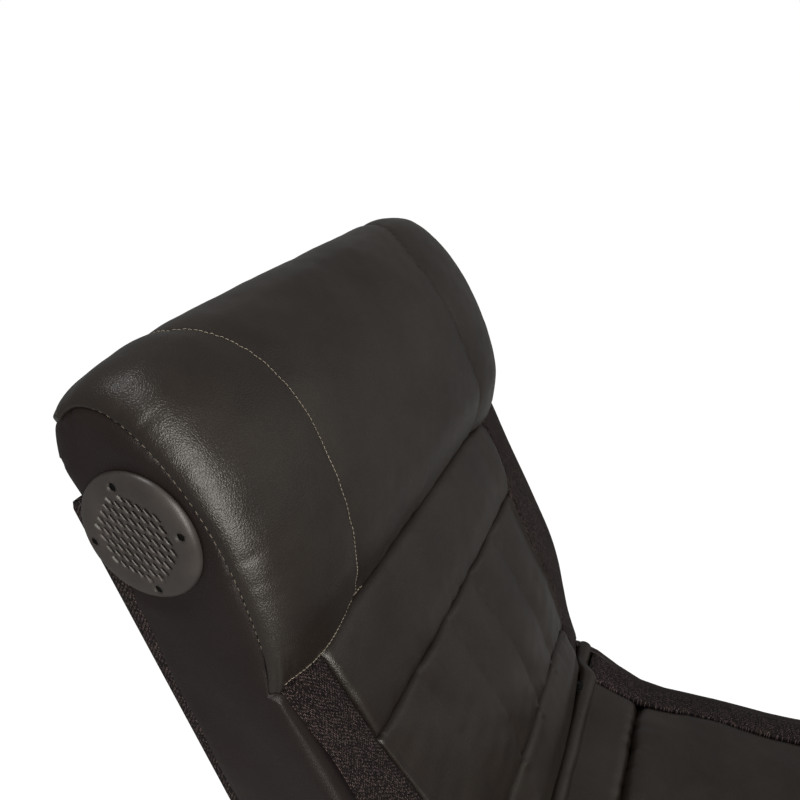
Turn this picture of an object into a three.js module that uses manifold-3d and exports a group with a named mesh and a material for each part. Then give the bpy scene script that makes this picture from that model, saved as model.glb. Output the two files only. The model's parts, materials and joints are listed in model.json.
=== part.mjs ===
// A floor rocker chair for gaming: an armless, legless S of steel tube, plywood and foam,
// covered in grained vinyl with woven mesh along its edges. The back folds forward over the
// seat on two steel hinges, and a loudspeaker sits in each side of the headrest.
// Millimetres, +Z up. The sitter faces -Y, so the sitter's right is -X. The origin is on the
// floor, under the middle of the chair's box.
import * as THREE from "three";
import { mergeVertices } from "three/addons/utils/BufferGeometryUtils.js";
import Module from "manifold-3d";

const wasm = await Module();
wasm.setup();

// Driving dimensions of the whole chair
const chair_width = 450;
const recline = 23; // degrees behind vertical
const fold_y = 82; // the fold axis runs along X, this far behind the origin
const back_depth = 113; // from the fold axis to the rear face of the back
const crease_height = 321; // the fold axis to the crease under the headrest
const headrest_height = 215; // that crease to the top of the headrest's side
const headrest_depth = 101; // rear face to the front of the headrest's side
const rocker_radius = 900;
const rocker_y = 38; // the lowest line of the rockers, under the centre of mass
const floor_flat_half = 30; // half the flat at the bottom of each rocker
const seat_front_y = -374;
const seat_front_height = 226; // top of the seat near its front, in the middle
const fold_drop = 5; // the fold axis lies this far below that

// Clearances and walls
const seat_gap = 0.3; // between pieces that touch
const side_panel_wall = 12;
const rear_panel_wall = 6;
const rear_vinyl_step = 4; // the mesh rear panel stands proud of the vinyl above it
const board_wall = 8;
const deck_wall = 10;
const foam_back = 48; // rear face of the back's foam, behind the fold axis
const cut_overrun = 5;

// Crown and seams of the cushions
const headrest_crown = 21;
const crown_power = 8;
const crown_top_share = 0.45; // of the crown, on top of the headrest
const crown_crease_share = 0.45; // of the crown, at the crease
const crown_fade_share = 0.25; // of the headrest's height, over which the crown fades there
const headrest_top_foam = 26;
const headrest_rear_foam = 4;
const rear_wrap_share = 0.7; // of the headrest's height, where its vinyl ends on the rear
const edge_power = 2.5;
const pad_edge_radius = 8;
const pad_edge_depth = 6;
const l3_height = 226; // seam between the plain upper pad and the channelled cushion
const l4_height = 68; // seam between the channelled cushion and the lower roll
const bolster_width = 24; // beside the channels
const channel_count = 5;
const channel_depth = 9;
const channel_power = 0.6;
const roll_lip = 2; // the rear roll ends this far in front of the fold axis
const mesh_strip_width = 41;
const rear_roll_length = 64; // from the fold axis to the seam in front of the seat's rear roll

// Steel frame and hinges
const tube_radius = 11;
const tube_wall = 1.5;
const back_tube_inset = 75; // from the chair's side to the middle of the tube
const tube_bend = 55;
const tube_top_gap = 4; // over the back's tube, inside the headrest
const seat_tube_set_back = 38; // behind the board at the seat's front
const leaf_wall = 4;
const hinge_eye_radius = 8;
const hinge_pin_radius = 4;
const hinge_pin_head_radius = 7;
const hinge_pin_head_height = 4;
const hinge_pocket_gap = 1;
const running_gap = 0.3;
const leaf_foot_inset = 2;
const leaf_foot_base = 40;
const seat_leaf_length = 46;

// Seat box
const deck_top_share = 0.7; // of the seat's height
const front_board_set_back = 36; // behind the seat's front
const end_board_front = 30; // the boards at the fold start this far behind the axis
const rear_corner_radius = 70;
const underside_wall = 6;
const runner_wall = 8;
const roll_rear_step = 2; // the roll's boards end this far behind the fold axis
const runner_width = 35;
const runner_inset = 25; // from the chair's side
const runner_rear_angle = 2.7; // degrees round the rocker's centre
const runner_front_angle = -17;
const rib_wall = 15;
const rib_gap = 1.7; // beside the amplifier's box
const rib_rear_inset = 12; // in front of where the rear corner starts

// Loudspeakers, one in each side of the headrest
const speaker_height_share = 0.567; // of the headrest's height, above the crease
const grille_rear_margin = 1.5; // from the grille to the rear face of the back
const driver_hole_inset = 14.5; // all insets here are from the grille's rim
const driver_flange_inset = 9;
const driver_flange_wall = 2;
const basket_depth = 26;
const basket_wall = 2;
const basket_rear_radius = 19;
const basket_mouth_inset = 13.5;
const coil_radius = 6;
const coil_gap = 0.5;
const magnet_radius = 22;
const magnet_length = 13;
const cone_inset = 17;
const cone_depth = 13;
const cone_wall = 1.2;
const cone_neck_radius = 9;
const cone_travel = 1.2;
const dust_cap_height = 4;
const grille_radius = 43.5;
const grille_wall = 2.2;
const grille_rim_height = 6;
const grille_field_inset = 16.5;
const grille_slot_length = 5.6;
const grille_slot_width = 2.6;
const grille_slot_pitch = 8.4;
const grille_row_pitch = 5;
const grille_slot_slant = 1.6;
const rim_slope_share = 0.75; // of the rim's height, outside its screws
const rim_edge_share = 0.3;
const speaker_pocket_gap = 1;
const screw_ring_inset = 8.5;
const screw_first_angle = 94; // degrees from the rear, turning up
const screw_count = 4;
const screw_head_radius = 2.6;
const screw_head_height = 1.4;
const screw_shank_radius = 1.3;
const screw_length = 14;
const screw_hole_gap = 0.3;

// Control panel on the sitter's right of the seat
const control_y = -90;
const control_drop = 36; // from the deck's underside to the panel's middle
const control_length = 132;
const control_height = 50;
const control_wall = 3;
const control_window_border = 8;
const control_corner = 8;
const amp_depth = 26;
const amp_wall = 2;
const knob_radius = 11;
const knob_height = 12;
const knob_shaft_radius = 3;
const knob_spacing_share = 0.242; // these shares are of the panel's length
const button_radius = 5;
const button_travel = 1.5;
const button_pressed_proud = 1; // what still stands out when it is pressed
const button_depth = 6;
const small_column_share = 0.076; // first column of small controls, behind the panel's middle
const column_pitch_share = 0.144;
const row_offset = 11;
const bass_knob_share = -0.106;
const jack_radius = 4.5;
const jack_bore_radius = 1.8;
const jack_length = 12;
const jack_rear_wall = 2;
const inlet_radius = 5.8;
const inlet_bore_radius = 3.1;
const led_radius = 2.2;
const board_corner_inset = 4;
const circuit_wall = 1.6;
const standoff_height = 6;
const knob_gap = 0.6;
const knob_taper = 1.2;
const knob_skirt = 2.5;
const knob_shaft_length = 8;
const marker_width = 1.4;
const marker_depth = 0.8;
const jack_proud = 1;
const led_length = 4;
const led_proud = 0.8;

// Outlines as shares, chosen by hand
// Side of the headrest from its rear, over the top and down the front to the crease:
// [share of its depth from the rear, share of its height from the crease]
const headrest_rim_shares = [
  [0.0, 0.845],
  [0.12, 0.956],
  [0.36, 1.0],
  [0.59, 0.963],
  [0.76, 0.876],
  [0.89, 0.744],
  [0.97, 0.594],
  [1.0, 0.43],
  [0.98, 0.274],
  [0.935, 0.129],
  [0.845, 0.0],
];
// Front edge of the back's side: [share of the crease height, share of the back's depth]
const back_edge_shares = [
  [0.0, 0.168],
  [0.12, 0.16],
  [0.23, 0.124],
  [0.35, 0.08],
  [0.47, 0.071],
  [0.62, 0.106],
  [0.81, 0.16],
  [1.0, 0.221],
];
// Middle line of the back's front face, in the same shares
const back_middle_shares = [
  [0.0, 0.02],
  [0.03, -0.012],
  [0.07, -0.044],
  [0.12, -0.07],
  [0.18, -0.065],
  [0.3, -0.058],
  [0.43, -0.035],
  [0.55, 0.035],
  [0.69, 0.1],
  [0.82, 0.085],
  [1.0, 0.125],
];
// Top of the seat, from the fold to the front: [share of the length, share of the height]
const seat_edge_shares = [
  [0.0, 0.945],
  [0.06, 0.872],
  [0.16, 0.8],
  [0.3, 0.823],
  [0.44, 0.836],
  [0.6, 0.875],
  [0.78, 0.915],
  [0.9, 0.92],
];
const seat_middle_shares = [
  [0.0, 0.97],
  [0.06, 0.958],
  [0.13, 0.935],
  [0.24, 0.905],
  [0.36, 0.9],
  [0.5, 0.915],
  [0.68, 0.965],
  [0.82, 1.0],
  [0.9, 0.99],
];
// Nose of the seat, from the top round to the underside, in shares of its depth and height
const nose_bottom_share = 0.62; // of its depth, where it meets the underside
const nose_shares = [
  [0.0, 1.0],
  [0.3, 0.955],
  [0.72, 0.8],
  [0.97, 0.52],
  [0.9, 0.2],
  [nose_bottom_share, 0.0],
];
// Stations and stops across a cushion
const headrest_station_shares = [0, 0.17, 0.35, 0.54, 0.7, 0.83, 0.93, 1];
const bolster_shares = [0.25, 0.55, 0.85, 1];
const edge_stop_shares = [0, 0.12, 0.45, 1];
const nose_top_share = 0.9; // of the seat's length, where the nose begins

const quarter_turn = 90; // degrees
const half_width = chair_width / 2;
const fold_z = seat_front_height - fold_drop;
const inside_half = half_width - side_panel_wall - seat_gap;
const strip_inner_x = half_width - mesh_strip_width;
const back_tube_x = half_width - back_tube_inset;
const runner_outer_x = half_width - runner_inset;
const runner_inner_x = runner_outer_x - runner_width;
const rib_inner_x = inside_half - amp_depth - rib_gap - rib_wall;
const front_board_y = seat_front_y + front_board_set_back;
const seat_tube_front_y = front_board_y + seat_tube_set_back;
const roll_rear_y = fold_y + roll_rear_step;
const roll_front_y = fold_y - rear_roll_length;
const degree = Math.PI / 180;
const lean = recline * degree;
const rocker_centre_z = Math.sqrt(rocker_radius ** 2 - floor_flat_half ** 2);
const body_radius = rocker_radius - runner_wall - seat_gap;
const rear_vinyl_y = back_depth - rear_vinyl_step;
const headrest_rear_bottom = crease_height + rear_wrap_share * headrest_height;
const headrest_inner_top = crease_height + headrest_height - headrest_top_foam;
const back_tube_top = headrest_inner_top - tube_top_gap - tube_radius;
const speaker_y = back_depth - grille_rear_margin - grille_radius;
const speaker_height = crease_height + speaker_height_share * headrest_height;
const driver_hole_radius = grille_radius - driver_hole_inset;
const driver_flange_radius = grille_radius - driver_flange_inset;
const basket_mouth_radius = grille_radius - basket_mouth_inset;
const cone_radius = grille_radius - cone_inset;
const grille_field_radius = grille_radius - grille_field_inset;
const screw_ring_radius = grille_radius - screw_ring_inset;
const board_front = foam_back + seat_gap;
const board_rear = board_front + board_wall;
const back_tube_y = board_rear + seat_gap + tube_radius;
const deck_top_z = deck_top_share * seat_front_height;
const deck_under_z = deck_top_z - deck_wall;
const control_z = deck_under_z - control_drop;
const seat_tube_z = deck_under_z - seat_gap - tube_radius;
const back_leaf_x = back_tube_x - tube_radius - seat_gap - leaf_wall;
const seat_leaf_x = back_leaf_x - running_gap - leaf_wall;
const seat_tube_x = seat_leaf_x - seat_gap - tube_radius;
const rear_panel_front = back_depth - rear_panel_wall;

// Counts
const arc_steps = 8;
const body_steps = 20;
const sole_steps = 20;
const flat_steps = 2;
const corner_steps = 3;
const cap_steps = 3;
const nose_steps = 8;
const round_sides = 24;
const pin_sides = 16;
const small_sides = 8;
const rim_steps = 24;
const samples_per_point = 8;
const tube_steps = 32;
const tube_sides = 8;
const edge_steps = 16;
const plain_pad_steps = 8;
const pad_rows = 4;
const channel_rows = 8;
const channel_steps = 4;
const strip_columns = 3;
const strip_rows = 16;
const seat_columns = 12;
const seat_rows = 12;

// Materials
const finish = (color, roughness, metalness = 0) =>
  new THREE.MeshStandardMaterial({ color, roughness, metalness });
const vinyl = finish(0x2a2625, 0.45);
const mesh_cloth = finish(0x211b1c, 0.9);
const grille_plastic = finish(0x46423f, 0.5);
const black_plastic = finish(0x1c1b1b, 0.45);
const frame_steel = finish(0x34363a, 0.5, 0.8);
const bright_steel = finish(0x9a9a9a, 0.3, 1);
const plywood = finish(0xa98a5f, 0.8);
const hardboard = finish(0x3a302a, 0.85);
const cone_paper = finish(0x161616, 0.9);
const rubber = finish(0x18181a, 0.85);
const circuit_green = finish(0x1f5a35, 0.5);
const led_lens = finish(0x9a1f1a, 0.25);

// Joins and cuts

// A closed geometry as a solid, its shared corners merged.
function solidOf(geometry) {
  const bare = geometry.clone();
  bare.deleteAttribute("normal");
  bare.deleteAttribute("uv");
  const merged = mergeVertices(bare);
  return new wasm.Manifold(
    new wasm.Mesh({
      numProp: 3,
      vertProperties: merged.attributes.position.array,
      triVerts: new Uint32Array(merged.index.array),
    }),
  );
}

function geometryOf(solid) {
  const { vertProperties, triVerts } = solid.getMesh();
  const position = new THREE.BufferAttribute(vertProperties, 3);
  const index = new THREE.BufferAttribute(triVerts, 1);
  const indexed = new THREE.BufferGeometry().setAttribute("position", position).setIndex(index);
  const geometry = indexed.toNonIndexed();
  geometry.computeVertexNormals();
  return geometry;
}

const isSolid = (shape) => shape instanceof wasm.Manifold;
const asSolid = (shape) => (isSolid(shape) ? shape : solidOf(shape));
const asGeometry = (shape) => (isSolid(shape) ? geometryOf(shape) : shape);

const cut = (body, ...tools) =>
  tools.reduce((left, tool) => left.subtract(asSolid(tool)), asSolid(body));

const join = (...bodies) => bodies.map(asSolid).reduce((whole, body) => whole.add(body));

// Shapes

const block = (x0, x1, y0, y1, z0, z1) =>
  new THREE.BoxGeometry(x1 - x0, y1 - y0, z1 - z0).translate(
    (x0 + x1) / 2,
    (y0 + y1) / 2,
    (z0 + z1) / 2,
  );

// A plate of constant section: an outline in the YZ plane, extruded from x0 to x1.
function plate(outline, x0, x1, holes = []) {
  const shape = new THREE.Shape(outline.map(([y, z]) => new THREE.Vector2(y, z)));
  shape.holes = holes.map((hole) => new THREE.Path(hole.map(([y, z]) => new THREE.Vector2(y, z))));
  const geometry = new THREE.ExtrudeGeometry(shape, { depth: x1 - x0, bevelEnabled: false });
  const turn = new THREE.Matrix4().set(0, 0, 1, x0, 1, 0, 0, 0, 0, 1, 0, 0, 0, 0, 0, 1);
  return geometry.applyMatrix4(turn);
}

// A rod along X through (y, z), from x0 to x1.
const rod = (radius, x0, x1, y = 0, z = 0, sides = round_sides) =>
  new THREE.CylinderGeometry(radius, radius, x1 - x0, sides)
    .rotateZ(-Math.PI / 2)
    .translate((x0 + x1) / 2, y, z);

// A turned piece about X: the profile holds [radius, x] pairs.
function turned(profile, sides = round_sides) {
  const points = profile.map(([radius, x]) => new THREE.Vector2(radius, x));
  return facingOut(new THREE.LatheGeometry(points, sides).rotateZ(-Math.PI / 2).toNonIndexed());
}

const circle = (radius, y, z, sides = round_sides) =>
  Array.from({ length: sides }, (_, i) => {
    const angle = (2 * Math.PI * i) / sides;
    return [y + radius * Math.cos(angle), z + radius * Math.sin(angle)];
  });

// Turns every triangle round if the closed surface faces inwards.
function facingOut(geometry) {
  const p = geometry.attributes.position;
  const corner = (i) => new THREE.Vector3().fromBufferAttribute(p, i);
  let volume = 0;
  for (let i = 0; i < p.count; i += 3) {
    volume += corner(i).dot(corner(i + 1).cross(corner(i + 2)));
  }
  if (volume < 0) {
    for (let i = 0; i < p.count; i += 3) {
      const [b, c] = [corner(i + 1), corner(i + 2)];
      p.setXYZ(i + 1, ...c);
      p.setXYZ(i + 2, ...b);
    }
  }
  geometry.computeVertexNormals();
  return geometry;
}

// The corners of the triangles that fill a ring, turning the way that the ring does.
function endCap(ring) {
  const area = THREE.ShapeUtils.area(ring.map(([, y, z]) => new THREE.Vector2(y, z)));
  const ordered = area < 0 ? [...ring].reverse() : ring;
  const triangles = wasm.triangulate([ordered.map(([, y, z]) => [y, z])]);
  return triangles.flatMap((t) => (area < 0 ? [...t].reverse() : [...t])).map((i) => ordered[i]);
}

// A solid through closed sections: each station is an x, each section an outline in YZ with
// the same number of points.
function loft(stations, sectionAt) {
  const rings = stations.map((x) => sectionAt(x).map(([y, z]) => [x, y, z]));
  const corners = [];
  const count = rings[0].length;
  for (let k = 0; k + 1 < rings.length; k++) {
    for (let i = 0; i < count; i++) {
      const j = (i + 1) % count;
      const [a, b, c, d] = [rings[k][i], rings[k][j], rings[k + 1][j], rings[k + 1][i]];
      corners.push(a, b, c, a, c, d);
    }
  }
  corners.push(...endCap(rings[0]).reverse(), ...endCap(rings[rings.length - 1]));
  const position = new THREE.Float32BufferAttribute(corners.flat(), 3);
  return facingOut(new THREE.BufferGeometry().setAttribute("position", position));
}

const spread = (from, to, steps) =>
  Array.from({ length: steps + 1 }, (_, i) => from + ((to - from) * i) / steps);

// A smooth line through points, sampled evenly.
const smooth = (points, steps) =>
  new THREE.SplineCurve(points.map(([a, b]) => new THREE.Vector2(a, b)))
    .getSpacedPoints(steps)
    .map((p) => [p.x, p.y]);

// Reads a smooth line as a height over its first coordinate.
function heightAlong(points) {
  const line = smooth(points, samples_per_point * points.length);
  const rising = line[line.length - 1][0] > line[0][0];
  const ordered = rising ? line : line.reverse();
  return (at) => {
    const next = Math.max(1, ordered.findIndex(([a]) => a >= at));
    const [a, b] = [ordered[next - 1], ordered[next]];
    const share = THREE.MathUtils.clamp((at - a[0]) / (b[0] - a[0]), 0, 1);
    return a[1] + share * (b[1] - a[1]);
  };
}

// How far a padded edge drops at this distance from its end.
function edgeDrop(distance) {
  const share = THREE.MathUtils.clamp(1 - distance / pad_edge_radius, 0, 1);
  return pad_edge_depth * (1 - Math.sqrt(1 - share ** 2));
}

const crownAt = (x) => headrest_crown * (1 - (Math.abs(x) / half_width) ** crown_power);
const edgeShareAt = (x) => (Math.abs(x) / half_width) ** edge_power;

// Lines that several pieces share

const ofBack = (shares) => shares.map(([up, deep]) => [up * crease_height, deep * back_depth]);
const backEdgeAt = heightAlong(ofBack(back_edge_shares));
const backMiddleAt = heightAlong(ofBack(back_middle_shares));
const backFaceAt = (x, z) =>
  backMiddleAt(z) + (backEdgeAt(z) - backMiddleAt(z)) * edgeShareAt(x);

// The headrest's side outline, from its rear to the crease.
const headrestRim = smooth(
  headrest_rim_shares.map(([deep, up]) => [
    rear_vinyl_y - deep * headrest_depth,
    crease_height + up * headrest_height,
  ]),
  rim_steps,
);

// The fold's own frame, leaning like the back, as points of the chair.
const foldPoint = ([y, z]) => [
  fold_y + y * Math.cos(lean) + z * Math.sin(lean),
  fold_z - y * Math.sin(lean) + z * Math.cos(lean),
];

const seat_length = fold_y - seat_front_y;
const ofSeat = (shares) =>
  shares.map(([along, up]) => [fold_y - along * seat_length, up * seat_front_height]);
const seatEdgeAt = heightAlong(ofSeat(seat_edge_shares));
const seatMiddleAt = heightAlong(ofSeat(seat_middle_shares));
const seatTopAt = (x, y) => seatMiddleAt(y) + (seatEdgeAt(y) - seatMiddleAt(y)) * edgeShareAt(x);

// A point of a circle round the rocker's centre; the angle counts rearwards from straight down.
const rockerPoint = (radius, angle) => [
  rocker_y + radius * Math.sin(angle * degree),
  rocker_centre_z - radius * Math.cos(angle * degree),
];

// The corner arc that runs from the rocker's curve into the leaning rear face.
function rearCorner(inset) {
  const outer = body_radius - inset;
  const round = rear_corner_radius - inset;
  const [base_y, base_z] = foldPoint([back_depth - rear_corner_radius, 0]);
  const [dy, dz] = [base_y - rocker_y, base_z - rocker_centre_z];
  const along = dy * Math.sin(lean) + dz * Math.cos(lean);
  const rest = dy ** 2 + dz ** 2 - (outer - round) ** 2;
  const drop = -along - Math.sqrt(along ** 2 - rest);
  const [y, z] = foldPoint([back_depth - rear_corner_radius, drop]);
  const start = Math.atan2(y - rocker_y, rocker_centre_z - z);
  const arc = spread(start, Math.PI / 2 - lean, arc_steps).map((angle) => [
    y + round * Math.sin(angle),
    z - round * Math.cos(angle),
  ]);
  return { drop, start: start / degree, arc };
}

const nose_top_y = fold_y - nose_top_share * seat_length;
const nose_bottom_y = THREE.MathUtils.lerp(nose_top_y, seat_front_y, nose_bottom_share);
const front_angle = Math.asin((nose_bottom_y - rocker_y) / body_radius) / degree;
const nose_base_z = rockerPoint(body_radius, front_angle)[1];

// The nose of the seat below its top, which ends at the given height.
const noseLine = (top_z) =>
  smooth(
    nose_shares.map(([deep, up]) => [
      THREE.MathUtils.lerp(nose_top_y, seat_front_y, deep),
      THREE.MathUtils.lerp(nose_base_z, top_z, up),
    ]),
    nose_steps,
  ).slice(1);

// The underside from the front to the rear corner, a given distance inside the body.
function undersideLine(inset, from = front_angle) {
  const corner = rearCorner(inset);
  const sweep = spread(from, corner.start, body_steps);
  const rocker = sweep.slice(0, -1).map((angle) => rockerPoint(body_radius - inset, angle));
  return [...rocker, ...corner.arc];
}

const group = new THREE.Group();
const back = new THREE.Group();
back.position.set(0, fold_y, fold_z);
back.rotation.x = -lean;
group.add(back);
const fold = new THREE.Group(); // seat pieces that lean like the back
fold.position.copy(back.position);
fold.rotation.copy(back.rotation);
group.add(fold);

function add(parent, name, shape, material) {
  const mesh = new THREE.Mesh(asGeometry(shape), material);
  mesh.name = name;
  parent.add(mesh);
  return mesh;
}

// side is -1 for the sitter's right and +1 for the left.
const sides = [
  ["right", -1],
  ["left", 1],
];
const mirrored = (shape, side) => {
  const geometry = asGeometry(shape);
  if (side > 0) return geometry;
  const flat = geometry.index ? geometry.toNonIndexed() : geometry;
  return facingOut(flat.scale(-1, 1, 1));
};
const addPair = (parent, name, make, material) =>
  sides.forEach(([word, side]) =>
    add(parent, name + "_" + word, mirrored(make(), side), material),
  );

// Steel frame

// A tube along a U: up one side, round two bends and down the other.
function bentTube(corners) {
  const path = new THREE.CurvePath();
  const points = corners.map((corner) => new THREE.Vector3(...corner));
  let from = points[0];
  for (let i = 1; i + 1 < points.length; i++) {
    const corner = points[i];
    const towards = (other) =>
      corner.clone().add(other.clone().sub(corner).setLength(tube_bend));
    const [before, after] = [towards(points[i - 1]), towards(points[i + 1])];
    path.add(new THREE.LineCurve3(from, before));
    path.add(new THREE.QuadraticBezierCurve3(before, corner, after));
    from = after;
  }
  path.add(new THREE.LineCurve3(from, points[points.length - 1]));
  const section = new THREE.Shape().absarc(0, 0, tube_radius, 0, 2 * Math.PI);
  section.holes = [new THREE.Path().absarc(0, 0, tube_radius - tube_wall, 0, 2 * Math.PI)];
  return new THREE.ExtrudeGeometry(section, {
    extrudePath: path,
    steps: tube_steps,
    curveSegments: tube_sides / 2,
  });
}

const end_board_top = seat_gap + board_wall;
add(
  back,
  "back_frame_tube",
  bentTube([
    [-back_tube_x, back_tube_y, end_board_top + seat_gap],
    [-back_tube_x, back_tube_y, back_tube_top],
    [back_tube_x, back_tube_y, back_tube_top],
    [back_tube_x, back_tube_y, end_board_top + seat_gap],
  ]),
  frame_steel,
);
add(
  group,
  "seat_frame_tube",
  bentTube([
    [-seat_tube_x, roll_rear_y, seat_tube_z],
    [-seat_tube_x, seat_tube_front_y, seat_tube_z],
    [seat_tube_x, seat_tube_front_y, seat_tube_z],
    [seat_tube_x, roll_rear_y, seat_tube_z],
  ]),
  frame_steel,
);

// Hinges: a strap on each frame tube, and a rivet through both eyes

// The outline round a set of points.
function hullOf(points) {
  const sorted = [...points].sort((a, b) => a[0] - b[0] || a[1] - b[1]);
  const turn = (o, a, b) => (a[0] - o[0]) * (b[1] - o[1]) - (a[1] - o[1]) * (b[0] - o[0]);
  const chain = (list) => {
    const kept = [];
    for (const point of list) {
      while (kept.length > 1 && turn(kept.at(-2), kept.at(-1), point) <= 0) kept.pop();
      kept.push(point);
    }
    return kept.slice(0, -1);
  };
  return [...chain(sorted), ...chain(sorted.reverse())];
}

// A strap from an eye to a rectangle; grow widens it all round, for the slot it passes through.
function strap([y, z], [y0, y1, z0, z1], grow = 0) {
  const eye = circle(hinge_eye_radius + grow, y, z, pin_sides);
  const foot = [
    [y0 - grow, z0 - grow],
    [y1 + grow, z0 - grow],
    [y1 + grow, z1 + grow],
    [y0 - grow, z1 + grow],
  ];
  return hullOf([...eye, ...foot]);
}

const back_foot = [
  back_tube_y - tube_radius + leaf_foot_inset,
  back_tube_y + tube_radius - leaf_foot_inset,
  leaf_foot_base,
  l4_height - leaf_foot_inset,
];
const seat_foot = [
  roll_rear_y - leaf_foot_inset - seat_leaf_length,
  roll_rear_y - leaf_foot_inset,
  seat_tube_z - tube_radius + leaf_foot_inset,
  seat_tube_z + tube_radius - leaf_foot_inset,
];
const backStrap = (grow) => strap([0, 0], back_foot, grow);
const seatStrap = (grow) => strap([fold_y, fold_z], seat_foot, grow);
const pin_hole_radius = hinge_pin_radius + running_gap;
const pin_inner_x = seat_leaf_x - running_gap;
const pin_outer_x = back_leaf_x + leaf_wall + running_gap;
const pocket_inner_x = pin_inner_x - hinge_pin_head_height - hinge_pocket_gap;
const pocket_outer_x = pin_outer_x + hinge_pin_head_height + hinge_pocket_gap;

addPair(
  back,
  "back_hinge_leaf",
  () =>
    plate(backStrap(0), back_leaf_x, back_leaf_x + leaf_wall, [
      circle(pin_hole_radius, 0, 0, pin_sides),
    ]),
  frame_steel,
);
addPair(
  group,
  "seat_hinge_leaf",
  () =>
    plate(seatStrap(0), seat_leaf_x, seat_leaf_x + leaf_wall, [
      circle(pin_hole_radius, fold_y, fold_z, pin_sides),
    ]),
  frame_steel,
);
addPair(
  fold,
  "hinge_pin",
  () =>
    turned(
      [
        [0, pin_inner_x - hinge_pin_head_height],
        [hinge_pin_head_radius, pin_inner_x - hinge_pin_head_height],
        [hinge_pin_head_radius, pin_inner_x],
        [hinge_pin_radius, pin_inner_x],
        [hinge_pin_radius, pin_outer_x],
        [hinge_pin_head_radius, pin_outer_x],
        [hinge_pin_head_radius, pin_outer_x + hinge_pin_head_height],
        [0, pin_outer_x + hinge_pin_head_height],
      ],
      pin_sides,
    ),
  bright_steel,
);

// What the hinges need cut out of a piece, in the frame of the fold axis at (y, z).
const bothSides = (make) => [make(), mirrored(make(), -1)];
const hingePockets = (y, z) =>
  bothSides(() =>
    rod(hinge_eye_radius + hinge_pocket_gap, pocket_inner_x, pocket_outer_x, y, z, pin_sides),
  );
const slotTool = (outline, x) =>
  bothSides(() => plate(outline, x - running_gap, x + leaf_wall + running_gap));

// Boards of the back

add(
  back,
  "back_end_board",
  block(
    -inside_half,
    inside_half,
    end_board_front,
    rear_panel_front - seat_gap,
    seat_gap,
    end_board_top,
  ),
  plywood,
);
add(
  back,
  "back_rear_panel",
  block(-half_width, half_width, rear_panel_front, back_depth, seat_gap, headrest_rear_bottom),
  mesh_cloth,
);

const speakerRod = (radius, x0, x1, sides) =>
  rod(radius, x0, x1, speaker_y, speaker_height, sides);
const basket_rear_x = inside_half - driver_flange_wall - basket_depth;
const magnet_rear_x = basket_rear_x - seat_gap - magnet_length;
const speakerPockets = () =>
  bothSides(() =>
    speakerRod(
      driver_flange_radius + speaker_pocket_gap,
      magnet_rear_x - speaker_pocket_gap,
      half_width,
    ),
  );

add(
  back,
  "back_board",
  cut(
    block(
      -inside_half,
      inside_half,
      board_front,
      board_rear,
      end_board_top + seat_gap,
      headrest_inner_top - seat_gap,
    ),
    ...speakerPockets(),
    ...slotTool(backStrap(hinge_pocket_gap), back_leaf_x),
  ),
  plywood,
);

// Side panels of the back, each with its loudspeaker's hole

const screw_angles = Array.from(
  { length: screw_count },
  (_, i) => (screw_first_angle + (i * 360) / screw_count) * degree,
);
const screw_places = screw_angles.map((angle) => [
  speaker_y + screw_ring_radius * Math.cos(angle),
  speaker_height + screw_ring_radius * Math.sin(angle),
]);
const screw_hole_radius = screw_shank_radius + screw_hole_gap;

function backSideOutline() {
  const edge = spread(crease_height, seat_gap, edge_steps)
    .slice(1)
    .map((z) => [backEdgeAt(z), z]);
  return [
    [rear_panel_front - seat_gap, seat_gap],
    [rear_panel_front - seat_gap, headrest_rear_bottom + seat_gap],
    [rear_vinyl_y, headrest_rear_bottom + seat_gap],
    ...headrestRim,
    ...edge,
  ];
}
addPair(
  back,
  "back_side_panel",
  () =>
    plate(backSideOutline(), half_width - side_panel_wall, half_width, [
      circle(driver_hole_radius, speaker_y, speaker_height),
      ...screw_places.map(([y, z]) => circle(screw_hole_radius, y, z, small_sides)),
    ]),
  vinyl,
);

// Cushions of the back

// Stations or heights between two ends, closer together at the padded edges.
function padStops(from, to, steps) {
  const near = edge_stop_shares.map((share) => share * pad_edge_radius);
  const low = near.map((distance) => from + distance);
  const high = near.map((distance) => to - distance).reverse();
  return [...low, ...spread(low.at(-1), high[0], steps).slice(1, -1), ...high];
}
const mirrorStops = (list) => [...list.map((x) => -x).reverse(), ...list.slice(1)];

// The headrest's section: a deep front, a padded top and a thin flap down the rear.
function headrestSection(x) {
  const outer = headrestRim.map(([y, z], i) => {
    const [before, after] = [
      headrestRim[Math.max(i - 1, 0)],
      headrestRim[Math.min(i + 1, headrestRim.length - 1)],
    ];
    const [dy, dz] = [after[0] - before[0], after[1] - before[1]];
    const length = Math.hypot(dy, dz);
    const [front, up] = [Math.max(dz / -length, 0), Math.max(-dy / length, 0)];
    const height_share = (z - crease_height) / headrest_height;
    const fade = THREE.MathUtils.clamp(height_share / crown_fade_share, 0, 1);
    const swell = crownAt(x) * THREE.MathUtils.lerp(crown_crease_share, 1, fade);
    return [y - swell * front, z + swell * crown_top_share * up];
  });
  const low = crease_height + seat_gap;
  const inner_y = rear_vinyl_y - headrest_rear_foam;
  outer[outer.length - 1][1] = low;
  return [
    [rear_vinyl_y, headrest_rear_bottom + seat_gap],
    ...outer,
    [foam_back, low],
    [foam_back, headrest_inner_top],
    [inner_y, headrest_inner_top],
    [inner_y, headrest_rear_bottom + seat_gap],
  ];
}
const headrest_stations = mirrorStops(
  headrest_station_shares.map((share) => share * inside_half),
);
add(
  back,
  "headrest_cushion",
  cut(loft(headrest_stations, headrestSection), ...speakerPockets()),
  vinyl,
);

const pad_half = strip_inner_x - seat_gap;

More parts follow.
